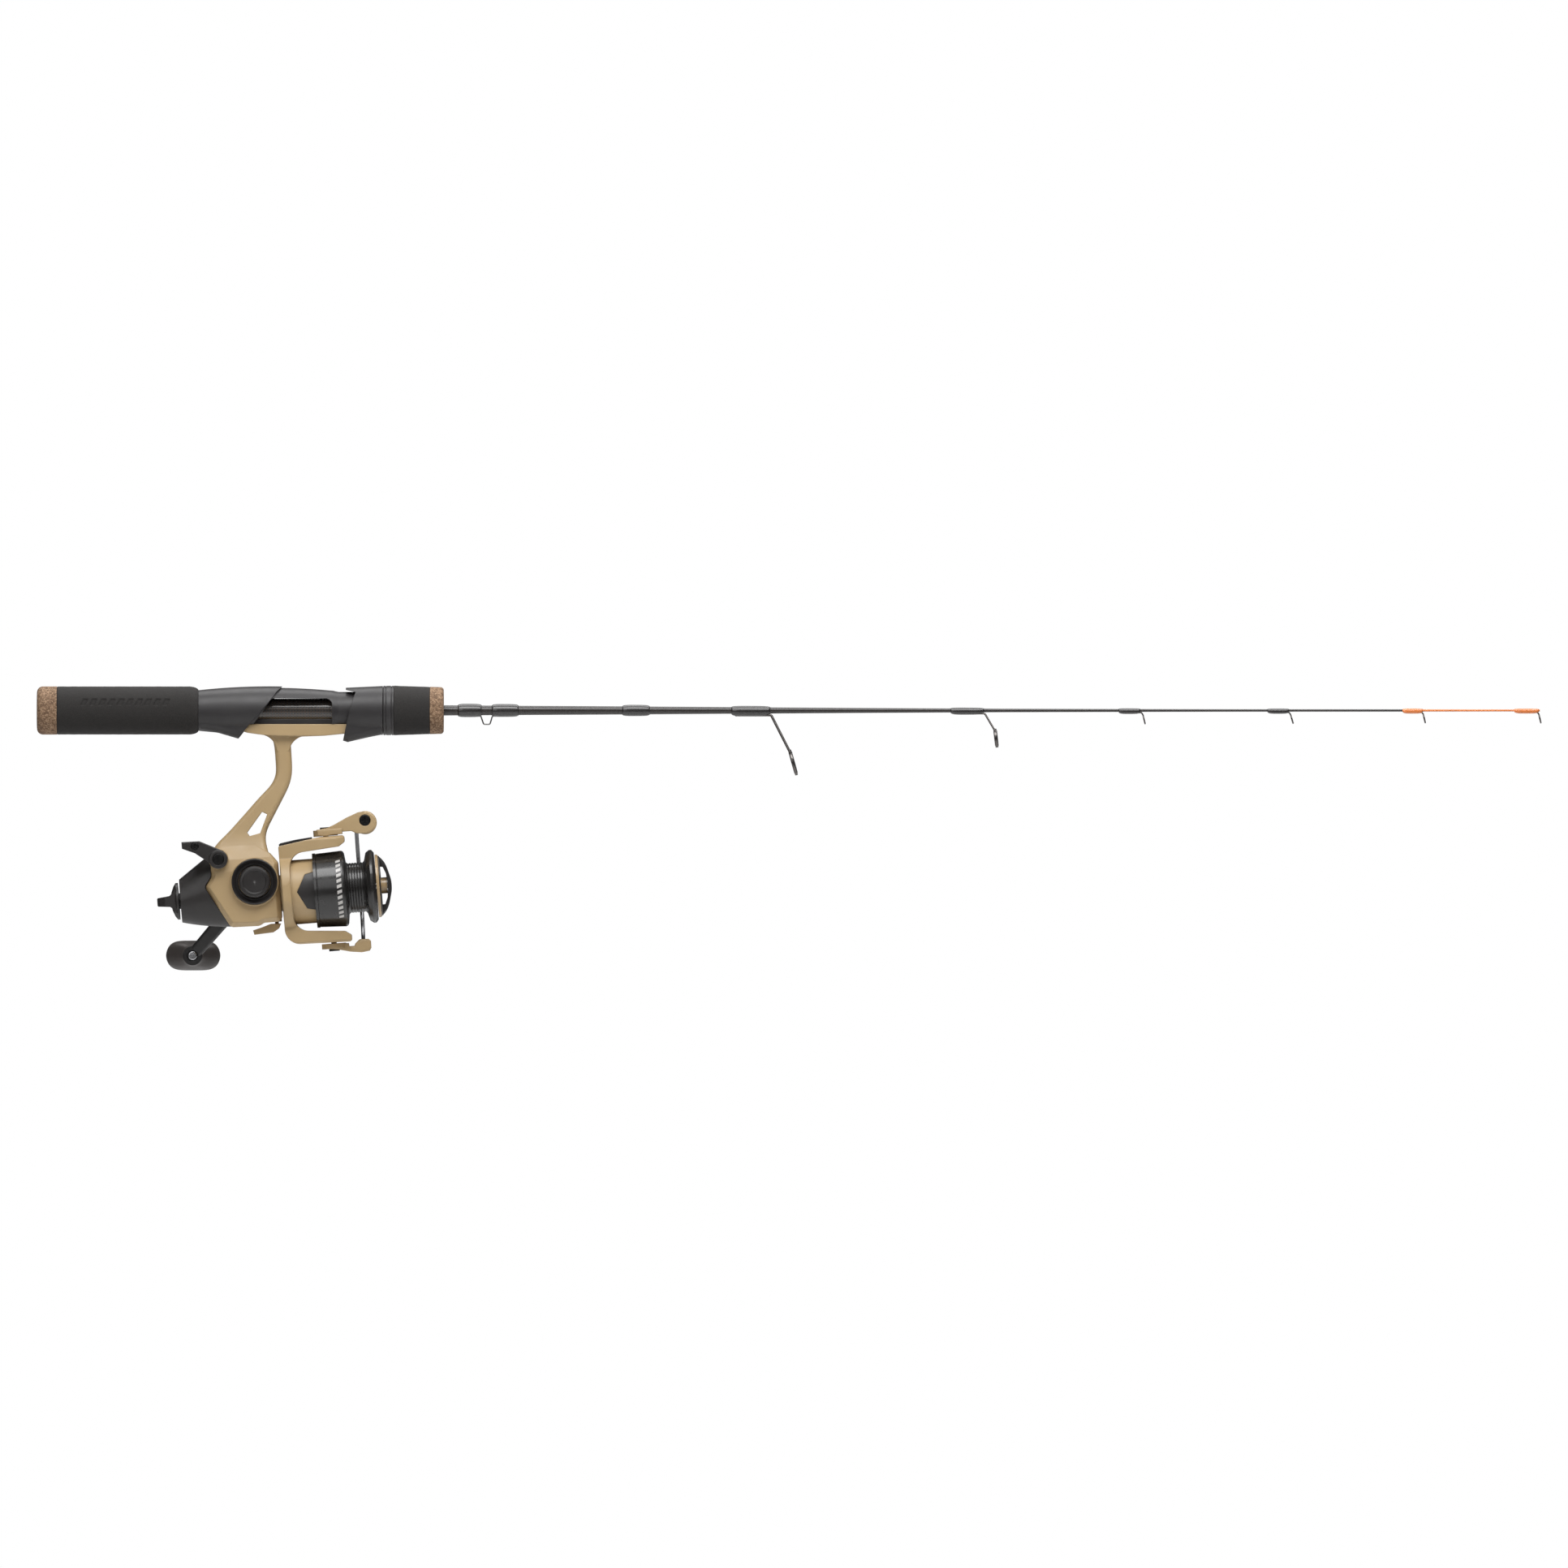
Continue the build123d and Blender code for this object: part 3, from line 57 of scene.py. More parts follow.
# ------------------------------------------------------------------- materials
def new_material(name, colour, roughness, metallic=0.0, coat=0.0, coat_roughness=0.1):
    """A plain surface whose sockets the graphs below then vary."""
    material = bpy.data.materials.new(name)
    material.use_nodes = True
    shader = material.node_tree.nodes["Principled BSDF"]
    shader.inputs["Base Color"].default_value = (*colour, 1.0)
    shader.inputs["Roughness"].default_value = roughness
    shader.inputs["Metallic"].default_value = metallic
    shader.inputs["Coat Weight"].default_value = coat
    shader.inputs["Coat Roughness"].default_value = coat_roughness
    material.diffuse_color = (*colour, 1.0)
    return material


class Graph:
    """Short names for shader nodes; edge_mm rounds sharp edges in the shading."""

    def __init__(self, material, edge_mm=0.0):
        self.tree = material.node_tree
        self.shader = self.tree.nodes["Principled BSDF"]
        self.coords = self.tree.nodes.new("ShaderNodeTexCoord").outputs["Object"]
        self.bump_out = None
        if edge_mm:
            edge = self.tree.nodes.new("ShaderNodeBevel")
            edge.samples = 6
            edge.inputs["Radius"].default_value = edge_mm * MM
            self.bump_out = edge.outputs["Normal"]

    def add(self, kind, **values):
        node = self.tree.nodes.new(kind)
        for key, value in values.items():
            if hasattr(node, key):
                setattr(node, key, value)
            else:
                node.inputs[key.replace("_", " ")].default_value = value
        return node

    def link(self, source, target):
        self.tree.links.new(source, target)

    def stretched(self, scale):
        mapping = self.add("ShaderNodeMapping")
        mapping.inputs["Scale"].default_value = scale
        self.link(self.coords, mapping.inputs["Vector"])
        return mapping.outputs["Vector"]

    def noise(self, scale, detail=4.0, roughness=0.55, stretch=None):
        node = self.add("ShaderNodeTexNoise", Scale=scale, Detail=detail, Roughness=roughness)
        source = self.stretched(stretch) if stretch else self.coords
        self.link(source, node.inputs["Vector"])
        return node.outputs["Fac"]

    def cells(self, scale, feature="F1"):
        node = self.add("ShaderNodeTexVoronoi", Scale=scale, feature=feature)
        self.link(self.coords, node.inputs["Vector"])
        return node

    def ramp(self, source, stops):
        node = self.add("ShaderNodeValToRGB")
        ramp = node.color_ramp
        while len(ramp.elements) < len(stops):
            ramp.elements.new(0.5)
        for element, (place, colour) in zip(ramp.elements, stops):
            element.position = place
            element.color = (*colour, 1.0)
        self.link(source, node.inputs["Fac"])
        return node.outputs["Color"]

    def span(self, source, low, high, from_low=0.0, from_high=1.0):
        node = self.add("ShaderNodeMapRange")
        for name, value in (
            ("From Min", from_low), ("From Max", from_high), ("To Min", low), ("To Max", high)
        ):
            node.inputs[name].default_value = value
        self.link(source, node.inputs["Value"])
        return node.outputs["Result"]

    def mix(self, factor, first, second):
        node = self.add("ShaderNodeMix", data_type="RGBA")
        for index, value in ((6, first), (7, second)):
            if isinstance(value, tuple):
                node.inputs[index].default_value = (*value, 1.0)
            else:
                self.link(value, node.inputs[index])
        self.link(factor, node.inputs[0])
        return node.outputs[2]

    def math(self, operation, first, second=None):
        node = self.add("ShaderNodeMath", operation=operation)
        for index, value in enumerate((first, second)):
            if value is None:
                continue
            if isinstance(value, float):
                node.inputs[index].default_value = value
            else:
                self.link(value, node.inputs[index])
        return node.outputs[0]

    def bump(self, height, strength, distance):
        node = self.add("ShaderNodeBump", Strength=strength, Distance=distance)
        self.link(height, node.inputs["Height"])
        if self.bump_out:
            self.link(self.bump_out, node.inputs["Normal"])
        self.bump_out = node.outputs["Normal"]
        self.link(self.bump_out, self.shader.inputs["Normal"])

    def base(self, colour):
        self.link(colour, self.shader.inputs["Base Color"])

    def rough(self, value):
        self.link(value, self.shader.inputs["Roughness"])

    def around(self):
        """The place along the rod, and the angle about its axis from -pi to pi."""
        parts = self.add("ShaderNodeSeparateXYZ")
        self.link(self.coords, parts.inputs[0])
        return parts.outputs["X"], self.math("ARCTAN2", parts.outputs["Z"], parts.outputs["Y"])

    def radius_of(self, parts):
        """The distance from the x axis of a separated vector."""
        across = self.math("MULTIPLY", parts.outputs["Y"], parts.outputs["Y"])
        upward = self.math("MULTIPLY", parts.outputs["Z"], parts.outputs["Z"])
        return self.math("SQRT", self.math("ADD", across, upward))


def moulded(
    name, colour, roughness, grain=0.25, vary=0.12, grain_size=2600.0, coat=0.0, edge_mm=0.35
):
    """Moulded or painted surface: soft tone drift, fine grain and uneven gloss."""
    material = new_material(name, colour, roughness, coat=coat)
    g = Graph(material, edge_mm)
    drift = g.noise(38.0, 3.0)
    low = tuple(c * (1.0 - vary) for c in colour)
    high = tuple(min(1.0, c * (1.0 + vary)) for c in colour)
    fine = g.noise(900.0, 2.0)
    tone = g.ramp(drift, ((0.3, low), (0.7, high)))
    g.base(g.mix(g.span(fine, 0.0, 0.10), tone, tuple(c * 0.7 for c in colour)))
    g.rough(g.span(g.noise(160.0, 5.0), roughness - 0.07, roughness + 0.08, 0.3, 0.7))
    g.bump(g.noise(grain_size, 3.0), grain, 0.00006)
    return material


def tan_material():
    """Painted tan plastic with a faint orange-peel and lighter rubbed patches."""
    material = new_material("tan_plastic", (0.42, 0.30, 0.168), 0.40)
    g = Graph(material, 0.9)
    drift = g.ramp(g.noise(26.0, 3.0), ((0.3, (0.410, 0.290, 0.150)), (0.7, (0.462, 0.331, 0.175))))
    rubbed = g.span(g.noise(120.0, 6.0, 0.7), 0.0, 0.25, 0.56, 0.72)
    g.base(g.mix(rubbed, drift, (0.50, 0.365, 0.20)))
    g.rough(g.span(g.noise(200.0, 4.0), 0.32, 0.47, 0.3, 0.7))
    g.bump(g.noise(1400.0, 2.0), 0.20, 0.00008)
    g.bump(g.noise(5200.0, 2.0), 0.12, 0.00003)
    return material


def cork_material():
    """Pressed burl cork: packed granules of mixed browns with dark gaps and pits."""
    material = new_material("burl_cork", (0.27, 0.16, 0.09), 0.80)
    g = Graph(material, 0.3)
    grains = g.cells(1500.0)
    tint = g.add("ShaderNodeSeparateColor")
    g.link(grains.outputs["Color"], tint.inputs[0])
    granule = g.ramp(
        tint.outputs[0],
        ((0.0, (0.10, 0.055, 0.030)), (0.25, (0.17, 0.098, 0.055)), (0.5, (0.27, 0.165, 0.095)),
         (0.78, (0.37, 0.235, 0.14)), (1.0, (0.46, 0.31, 0.19))),
    )
    smear = g.mix(g.span(g.noise(2200.0, 4.0), 0.0, 0.6, 0.35, 0.7), granule, (0.185, 0.108, 0.060))
    edges = g.cells(1500.0, "DISTANCE_TO_EDGE")
    gap = g.span(edges.outputs["Distance"], 1.0, 0.0, 0.0, 0.12)
    g.base(g.mix(g.math("MULTIPLY", gap, 0.45), smear, (0.060, 0.034, 0.020)))
    g.bump(edges.outputs["Distance"], 0.30, 0.00012)
    g.bump(g.noise(2600.0, 4.0), 0.30, 0.00010)
    return material


def foam_material():
    """Closed-cell foam: matt black with a fine open skin of tiny pores."""
    material = new_material("foam", (0.020, 0.018, 0.017), 0.80)
    shader = material.node_tree.nodes["Principled BSDF"]
    shader.inputs["Sheen Weight"].default_value = 0.05
    shader.inputs["Sheen Roughness"].default_value = 0.45
    shader.inputs["Specular IOR Level"].default_value = 0.35
    g = Graph(material)
    pores = g.cells(2400.0)
    speck = g.span(g.noise(2300.0, 3.0, 0.7), 0.0, 1.0, 0.35, 0.7)
    tone = g.ramp(speck, ((0.0, (0.010, 0.009, 0.0085)), (1.0, (0.034, 0.031, 0.029))))
    g.base(g.mix(g.span(g.noise(30.0, 2.0), 0.0, 0.35), tone, (0.024, 0.022, 0.021)))
    g.rough(g.span(speck, 0.74, 0.90))
    g.bump(pores.outputs["Distance"], 0.40, 0.00012)
    g.bump(g.noise(900.0, 5.0, 0.7), 0.35, 0.00010)
    return material


def weave_material():
    """Woven carbon under clear resin: two crossing sets of tows laid round the tube."""
    colour = (0.03, 0.028, 0.027)
    material = new_material("carbon_tube", colour, 0.32, coat=1.0, coat_roughness=0.06)
    g = Graph(material)
    along, angle = g.around()
    tube_radius, cell = 6.0 * MM, 1.5 * MM
    lap = g.math("MULTIPLY", angle, tube_radius)
    first = g.math("DIVIDE", g.math("ADD", along, lap), cell)
    second = g.math("DIVIDE", g.math("SUBTRACT", along, lap), cell)
    wave_a = g.math("SINE", g.math("MULTIPLY", first, math.pi))
    wave_b = g.math("SINE", g.math("MULTIPLY", second, math.pi))
    product = g.math("MULTIPLY", wave_a, wave_b)
    over = g.span(product, 0.0, 1.0, -0.25, 0.25)
    strands = g.math("SINE", g.math("MULTIPLY", first, math.pi * 9.0))
    deep = g.span(strands, 0.0, 0.4, -1.0, 1.0)
    pale = g.span(strands, 0.0, 0.5, -1.0, 1.0)
    dark = g.mix(deep, (0.008, 0.006, 0.005), (0.020, 0.016, 0.013))
    light = g.mix(pale, (0.062, 0.046, 0.036), (0.034, 0.026, 0.021))
    g.base(g.mix(over, dark, light))
    g.rough(g.span(over, 0.42, 0.26))
    g.bump(product, 0.5, 0.00010)
    return material


def thread_material(name, colour, pitch_mm, coat):
    """Bound thread under clear coats: fine turns along the rod, a little uneven."""
    material = new_material(name, colour, 0.34, coat=coat, coat_roughness=0.05)
    g = Graph(material)
    along, angle = g.around()
    turns = g.math("MULTIPLY", along, 2.0 * math.pi / (pitch_mm * MM))
    ridge = g.math("SINE", g.math("ADD", turns, angle))
    dark = tuple(c * 0.72 for c in colour)
    light = tuple(min(1.0, c * 1.18) for c in colour)
    g.base(g.mix(g.span(ridge, 0.0, 1.0, -1.0, 1.0), dark, light))
    g.rough(g.span(g.noise(700.0, 3.0), 0.26, 0.42, 0.3, 0.7))
    g.bump(ridge, 0.25, 0.00004)
    g.bump(g.noise(240.0, 2.0), 0.25, 0.00012)
    return material


def blank_material():
    """Sanded and sealed graphite: dark grey with fine turned rings."""
    colour = (0.030, 0.028, 0.028)
    material = new_material("blank_satin", colour, 0.32, coat=0.35, coat_roughness=0.2)
    g = Graph(material)
    rings = g.noise(1.0, 3.0, 0.6, stretch=(2400.0, 40.0, 40.0))
    g.base(g.ramp(rings, ((0.3, (0.017, 0.014, 0.013)), (0.7, (0.034, 0.029, 0.027)))))
    g.rough(g.span(rings, 0.24, 0.40, 0.3, 0.7))
    g.bump(rings, 0.15, 0.00003)
    return material


def metal_material(name, colour, roughness, stretch=(90.0, 2200.0, 2200.0)):
    """Turned or drawn metal: fine streaks along one direction and uneven polish."""
    material = new_material(name, colour, roughness, metallic=1.0)
    tone = 0.12
    g = Graph(material, 0.15)
    streak = g.noise(1.0, 4.0, 0.6, stretch=stretch)
    low = tuple(c * (1.0 - tone) for c in colour)
    high = tuple(min(1.0, c * (1.0 + tone)) for c in colour)
    g.base(g.ramp(streak, ((0.3, low), (0.7, high))))
    smudge = g.noise(220.0, 4.0)
    g.rough(g.span(smudge, max(0.03, roughness - 0.06), roughness + 0.10, 0.3, 0.7))
    g.bump(streak, 0.06, 0.00003)
    return material


def soft_touch_material():
    """Rubber-painted plastic: very dark grey with a broad soft sheen and faint handling marks."""
    material = new_material("soft_touch", (0.022, 0.020, 0.021), 0.42)
    material.node_tree.nodes["Principled BSDF"].inputs["Sheen Weight"].default_value = 0.05
    g = Graph(material, 0.5)
    g.base(g.ramp(g.noise(60.0, 5.0), ((0.3, (0.019, 0.017, 0.018)), (0.7, (0.026, 0.024, 0.025)))))
    g.rough(g.span(g.noise(130.0, 6.0, 0.65), 0.36, 0.50, 0.3, 0.7))
    g.bump(g.noise(3800.0, 2.0), 0.22, 0.00004)
    return material


def spool_material():
    """Lacquered black spool with turned streaks and a printed ring of plain dashes."""
    colour = (0.012, 0.011, 0.011)
    material = new_material("spool_black", colour, 0.28, coat=0.5, coat_roughness=0.12)
    g = Graph(material, 0.25)
    ring_at, ring_half, skirt_radius = 42.6 * MM, 1.2 * MM, 18.0 * MM
    place = g.add("ShaderNodeMapping", vector_type="TEXTURE")
    place.inputs["Location"].default_value = REEL_ORIGIN
    place.inputs["Rotation"].default_value = (0.0, -REEL_TILT, 0.0)
    g.link(g.coords, place.inputs["Vector"])
    parts = g.add("ShaderNodeSeparateXYZ")
    g.link(place.outputs["Vector"], parts.inputs[0])
    along = parts.outputs["X"]
    angle = g.math("ARCTAN2", parts.outputs["Z"], parts.outputs["Y"])
    streak = g.noise(1.0, 4.0, 0.6, stretch=(2600.0, 60.0, 60.0))
    black = g.ramp(streak, ((0.3, (0.010, 0.009, 0.009)), (0.7, (0.016, 0.015, 0.014))))
    slant = g.math("ADD", g.math("MULTIPLY", angle, 42.0), g.math("MULTIPLY", along, 700.0))
    dash = g.span(g.math("SINE", slant), 0.0, 1.0, -0.30, -0.10)
    group = g.span(g.math("COSINE", g.math("MULTIPLY", angle, 2.0)), 0.0, 1.0, -0.20, -0.15)
    far = g.math("ABSOLUTE", g.math("SUBTRACT", along, ring_at))
    band = g.span(far, 1.0, 0.0, ring_half - 0.05 * MM, ring_half + 0.05 * MM)
    outer = g.math("GREATER_THAN", g.radius_of(parts), skirt_radius)
    marks = g.math("MULTIPLY", g.math("MULTIPLY", dash, group), g.math("MULTIPLY", band, outer))
    g.base(g.mix(marks, black, (0.52, 0.50, 0.48)))
    g.rough(g.span(g.noise(220.0, 4.0), 0.24, 0.34, 0.3, 0.7))
    g.bump(streak, 0.03, 0.00002)
    return material


def felt_material():
    """Pressed felt of the drag washers."""
    material = new_material("washer_felt", (0.46, 0.42, 0.33), 0.9)
    g = Graph(material)
    g.base(g.ramp(g.noise(1800.0, 5.0), ((0.3, (0.36, 0.32, 0.24)), (0.7, (0.56, 0.52, 0.42)))))
    g.bump(g.noise(2600.0, 5.0), 0.6, 0.00012)
    return material


MATERIALS = {
    "burl_cork": cork_material(),
    "foam": foam_material(),
    "carbon_tube": weave_material(),
    "blank_satin": blank_material(),
    "tip_orange": moulded("tip_orange", (0.86, 0.235, 0.045), 0.30, grain=0.06, coat=0.7),
    "bushing": moulded("bushing", (0.22, 0.22, 0.22), 0.6),
    "soft_touch": soft_touch_material(),
    "steel_wire": metal_material("steel_wire", (0.20, 0.195, 0.19), 0.26),
    "wrap_dark": thread_material("wrap_dark", (0.018, 0.016, 0.016), 0.30, 0.8),
    "wrap_orange": thread_material("wrap_orange", (0.88, 0.24, 0.05), 0.30, 0.8),
    "guide_frame": metal_material("guide_frame", (0.13, 0.12, 0.115), 0.28),
    "guide_insert": moulded("guide_insert", (0.055, 0.055, 0.060), 0.12, grain=0.04, coat=0.5),
    "tan_plastic": tan_material(),
    "black_plastic": moulded(
        "black_plastic", (0.020, 0.0175, 0.017), 0.38, grain=0.22, edge_mm=0.5
    ),
    "screw_black": metal_material("screw_black", (0.035, 0.034, 0.034), 0.34, (400.0,) * 3),
    "gear_zinc": metal_material("gear_zinc", (0.50, 0.50, 0.51), 0.42, (700.0,) * 3),
    "brass_gear": metal_material("brass_gear", (0.70, 0.50, 0.22), 0.30, (900.0,) * 3),
    "bearing_steel": metal_material("bearing_steel", (0.60, 0.60, 0.62), 0.18, (900.0,) * 3),
    "shaft_steel": metal_material("shaft_steel", (0.56, 0.56, 0.58), 0.20),
    "crank_metal": moulded(
        "crank_metal", (0.014, 0.013, 0.013), 0.36, grain=0.12, coat=0.3, edge_mm=0.6
    ),
    "knob_grip": moulded(
        "knob_grip", (0.050, 0.043, 0.040), 0.40, grain=0.5, vary=0.3, grain_size=1500.0
    ),
    "bail_metal": metal_material("bail_metal", (0.13, 0.13, 0.135), 0.16, (500.0,) * 3),
    "roller_metal": metal_material("roller_metal", (0.10, 0.10, 0.105), 0.14, (900.0,) * 3),
    "spool_black": spool_material(),
    "washer_felt": felt_material(),
    "tan_ring": moulded("tan_ring", (0.43, 0.305, 0.165), 0.28, grain=0.08, coat=0.5),
}

SLOT_OF = {s["node"]: s["material_slot"] for s in frame["record"]["subparts"]}
BEVEL_MM = {
    "reel_body": 0.35, "side_cover": 0.35, "rotor": 0.4, "bail_arm": 0.4, "bail_trip_arm": 0.35,
    "front_hood": 0.3, "reel_seat": 0.25, "feeder_lever": 0.3, "anti_reverse_lever": 0.3,
    "rear_drag_knob": 0.3, "drag_knob": 0.25, "drag_knob_base": 0.15, "rear_cover": 0.2,
    "crank_arm": 0.3, "spool": 0.12, "rotor_arm_cover": 0.2, "lock_nut": 0.12, "side_collar": 0.12,
    "handle_screw_cap": 0.15, "butt_cap": 0.2, "fore_cork": 0.2, "feeder_lever_screws": 0.08,
    "roller_screw": 0.08, "bail_pivot_screws": 0.1, "knob_spindle": 0.1, "line_roller": 0.1,
}
EDGE_ANGLE = math.radians(32)


def dress_cad_nodes():
    """Gives every CAD node its material, smooth shading and softened edges."""
    for name, piece in nodes.items():
        piece.data.materials.clear()
        piece.data.materials.append(MATERIALS[SLOT_OF[name]])
        piece.data.polygons.foreach_set("use_smooth", [True] * len(piece.data.polygons))
        piece.data.set_sharp_from_angle(angle=EDGE_ANGLE)
        if name in BEVEL_MM:
            bevel = piece.modifiers.new("soft_edges", "BEVEL")
            bevel.width = BEVEL_MM[name] * MM
            bevel.segments = 2
            bevel.limit_method = "ANGLE"
            bevel.angle_limit = EDGE_ANGLE
            bevel.harden_normals = True
            bevel.use_clamp_overlap = True


# ---------------------------------------------------------------------- new pieces
def piece_from(name, mesh, slot_name, body, *replaced):
    """Makes an object of the mesh, gives it its slot's material and sets it on its body."""
    piece = bpy.data.objects.new(name, mesh)
    bpy.context.scene.collection.objects.link(piece)
    mesh.materials.append(MATERIALS[slot_name])
    mesh.polygons.foreach_set("use_smooth", [True] * len(mesh.polygons))
    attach(piece, body)
    if replaced:
        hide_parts(*replaced)
    return piece


def bridge(mesh, rings, closed):
    """Joins each ring of vertices to the next, and the last to the first if closed."""
    following = rings[1:] + rings[:1] if closed else rings[1:]
    for first, second in zip(rings, following):
        for i in range(len(first)):
            j = (i + 1) % len(first)
            mesh.faces.new((first[i], first[j], second[j], second[i]))


def mesh_data(name, mesh):
    """Turns a bmesh into mesh data with its faces pointing outwards."""
    bmesh.ops.recalc_face_normals(mesh, faces=mesh.faces)
    data = bpy.data.meshes.new(name)
    mesh.to_mesh(data)
    mesh.free()
    return data


def lathe(name, profile, segments, shift=None):
    """A closed skin turned about the rod's axis from (x, radius) in mm; shift moves points."""
    mesh = bmesh.new()
    rings = []
    for x, radius in profile:
        ring = []
        for i in range(segments):
            angle = 2 * math.pi * i / segments
            r = radius + (shift(x, angle) if shift else 0.0)
            ring.append(mesh.verts.new(Vector((x, r * math.cos(angle), r * math.sin(angle))) * MM))
        rings.append(ring)
    bridge(mesh, rings, closed=True)
    return mesh_data(name, mesh)


def smooth_step(value, low, high):
    """Eases from 0 at low to 1 at high."""
    t = min(1.0, max(0.0, (value - low) / (high - low)))
    return t * t * (3 - 2 * t)


GRIP_RADIUS = 12.2
PATTERN_START, PATTERN_END, PATTERN_PITCH = 22.0, 68.0, 4.6
PATTERN_HEIGHT, PATTERN_DEPTH = 1.9, 0.62  # half height up the grip, and depth
PATTERN_RISE, PATTERN_SLANT = 4.4, 0.45  # how far above the middle, and lean


def pressed_bars(x, angle):
    """A plain row of slanting bars pressed into the foam on each side."""
    far_side = math.cos(angle) < 0
    up = GRIP_RADIUS * (math.pi - angle if far_side else angle) - PATTERN_RISE
    if abs(up) > PATTERN_HEIGHT + 0.4 or not PATTERN_START < x < PATTERN_END:
        return 0.0
    place = (x - PATTERN_START - PATTERN_SLANT * up) % PATTERN_PITCH
    inside = smooth_step(place, 0.7, 0.95) * (1 - smooth_step(place, 3.2, 3.45))
    tall = 1 - smooth_step(abs(up), PATTERN_HEIGHT - 0.25, PATTERN_HEIGHT)
    return -PATTERN_DEPTH * inside * tall


def foam_skin(x, angle):
    """The slight unevenness of ground foam."""
    place = Vector((x * 0.35, math.cos(angle) * 4, math.sin(angle) * 4))
    return 0.05 * noise.noise(place) + 0.025 * noise.noise(place * 5)


def rear_grip_piece():
    """Straight foam sleeve with a rounded nose and the pressed bars."""
    low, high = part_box("rear_grip")
    start, end = low.x / MM, high.x / MM
    radius = high.z / MM
    nose_length, nose_drop = 5.3, 2.0
    bore, steps, nose_steps, lead = 6.2, 200, 12, 0.6
    profile = [(start + 0.01, bore), (start + 0.02, radius - 0.45), (start + 0.25, radius - 0.12)]
    shoulder = end - nose_length
    for i in range(steps + 1):
        profile.append((start + lead + (shoulder - start - lead) * i / steps, radius - 0.04))
    for i in range(1, nose_steps + 1):
        turn = math.pi / 2 * i / nose_steps
        profile.append(
            (shoulder + nose_length * math.sin(turn), radius - nose_drop * (1 - math.cos(turn)))
        )
    profile += [(end, 8.0), (end - 0.4, bore)]
    mesh = lathe(
        "rear_grip_foam", profile, 220, lambda x, a: foam_skin(x, a) + pressed_bars(x, a)
    )
    grip = piece_from("rear_grip_foam", mesh, "foam", "rod", "rear_grip")


def fore_grip_piece():
    """Foam sleeve on the locking ring, tapering gently forwards."""
    low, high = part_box("fore_grip")
    start, end = low.x / MM, high.x / MM
    bore, radius, taper, steps = 9.6, 12.52, 0.58, 49
    profile = [(start + 0.01, bore), (start + 0.02, 12.3), (start + 0.3, radius)]
    for i in range(steps + 1):
        t = i / steps
        profile.append((start + 0.6 + (end - start - 1.0) * t, radius - taper * t))
    profile += [(end - 0.02, 11.8), (end - 0.01, bore)]
    mesh = lathe("fore_grip_foam", profile, 160, foam_skin)
    grip = piece_from("fore_grip_foam", mesh, "foam", "locking_nut", "fore_grip")


KNOB_STATIONS = [  # y, half length, half height
    (47.7, 4.3, 4.3), (47.9, 4.9, 4.9), (49.6, 5.3, 5.2), (51.6, 6.9, 5.6), (54.0, 10.2, 6.4),
    (57.0, 13.0, 7.2), (60.4, 13.95, 7.6), (64.2, 13.8, 7.6), (67.0, 12.4, 6.9), (69.0, 9.6, 5.3),
    (69.85, 5.6, 3.0),
]
KNOB_BORE, KNOB_BORE_END = 1.66, 66.3
NECK_LIMIT = 6.0  # stations less long than this are round


def outline_reach(c, s, long_power, tall_power):
    """How far the knob's outline lies along the direction (c, s), for a half size of one."""
    near, far = 0.5, 1.5
    for _ in range(30):
        middle = (near + far) / 2
        if (middle * abs(c)) ** long_power + (middle * abs(s)) ** tall_power < 1.0:
            near = middle
        else:
            far = middle
    return near


def handle_knob_piece():
    """Smooth paddle knob with a crowned face and a round neck, bored for its spindle."""
    low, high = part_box("handle_knob")
    centre_x, centre_z = (low.x + high.x) / 2 / MM, (low.z + high.z) / 2 / MM
    count = 48
    bore = [(KNOB_BORE_END, 0.4, 0.4), (KNOB_BORE_END, KNOB_BORE, KNOB_BORE)]
    mouth = (KNOB_STATIONS[0][0], KNOB_BORE, KNOB_BORE)
    mesh = bmesh.new()
    rings = []
    for y, half_long, half_tall in bore + [mouth] + KNOB_STATIONS:
        long_power, tall_power = (2.0, 2.0) if half_long < NECK_LIMIT else (5.0, 1.7)
        ring = []
        for i in range(count):
            angle = 2 * math.pi * i / count
            c, s = math.cos(angle), math.sin(angle)
            reach = outline_reach(c, s, long_power, tall_power)
            spot = Vector((centre_x + half_long * reach * c, y, centre_z + half_tall * reach * s))
            ring.append(mesh.verts.new(spot * MM))
        rings.append(ring)
    bridge(mesh, rings, closed=False)
    mesh.faces.new(rings[0])
    mesh.faces.new(rings[-1])
    data = mesh_data("handle_knob_grip", mesh)
    knob = piece_from("handle_knob_grip", data, "knob_grip", "crank_knob", "handle_knob")
    smooth = knob.modifiers.new("smooth", "SUBSURF")
    smooth.levels = smooth.render_levels = 1


# Each bound wrap: start, end, blank radius at each, how far it swells, how far it sags.
WRAPS = {
    "keeper_wraps": ("wrap_dark", ((212.9, 225.0, 2.56, 2.48, 0.8, 0.0),
                                   (230.1, 243.7, 2.44, 2.35, 0.8, 0.0))),
    "guide_wraps": ("wrap_dark", ((296.1, 310.1, 2.07, 1.99, 0.75, 0.0),
                                  (351.3, 371.1, 1.71, 1.58, 0.95, 0.35),
                                  (462.2, 479.2, 1.04, 0.95, 0.75, 0.35),
                                  (547.3, 558.3, 0.76, 0.73, 0.65, 0.35),
                                  (622.6, 633.6, 0.64, 0.63, 0.65, 0.35))),
    "tip_wraps": ("wrap_orange", ((691.0, 701.3, 0.60, 0.60, 0.65, 0.30),
                                  (747.5, 760.1, 0.57, 0.55, 0.65, 0.30))),
}


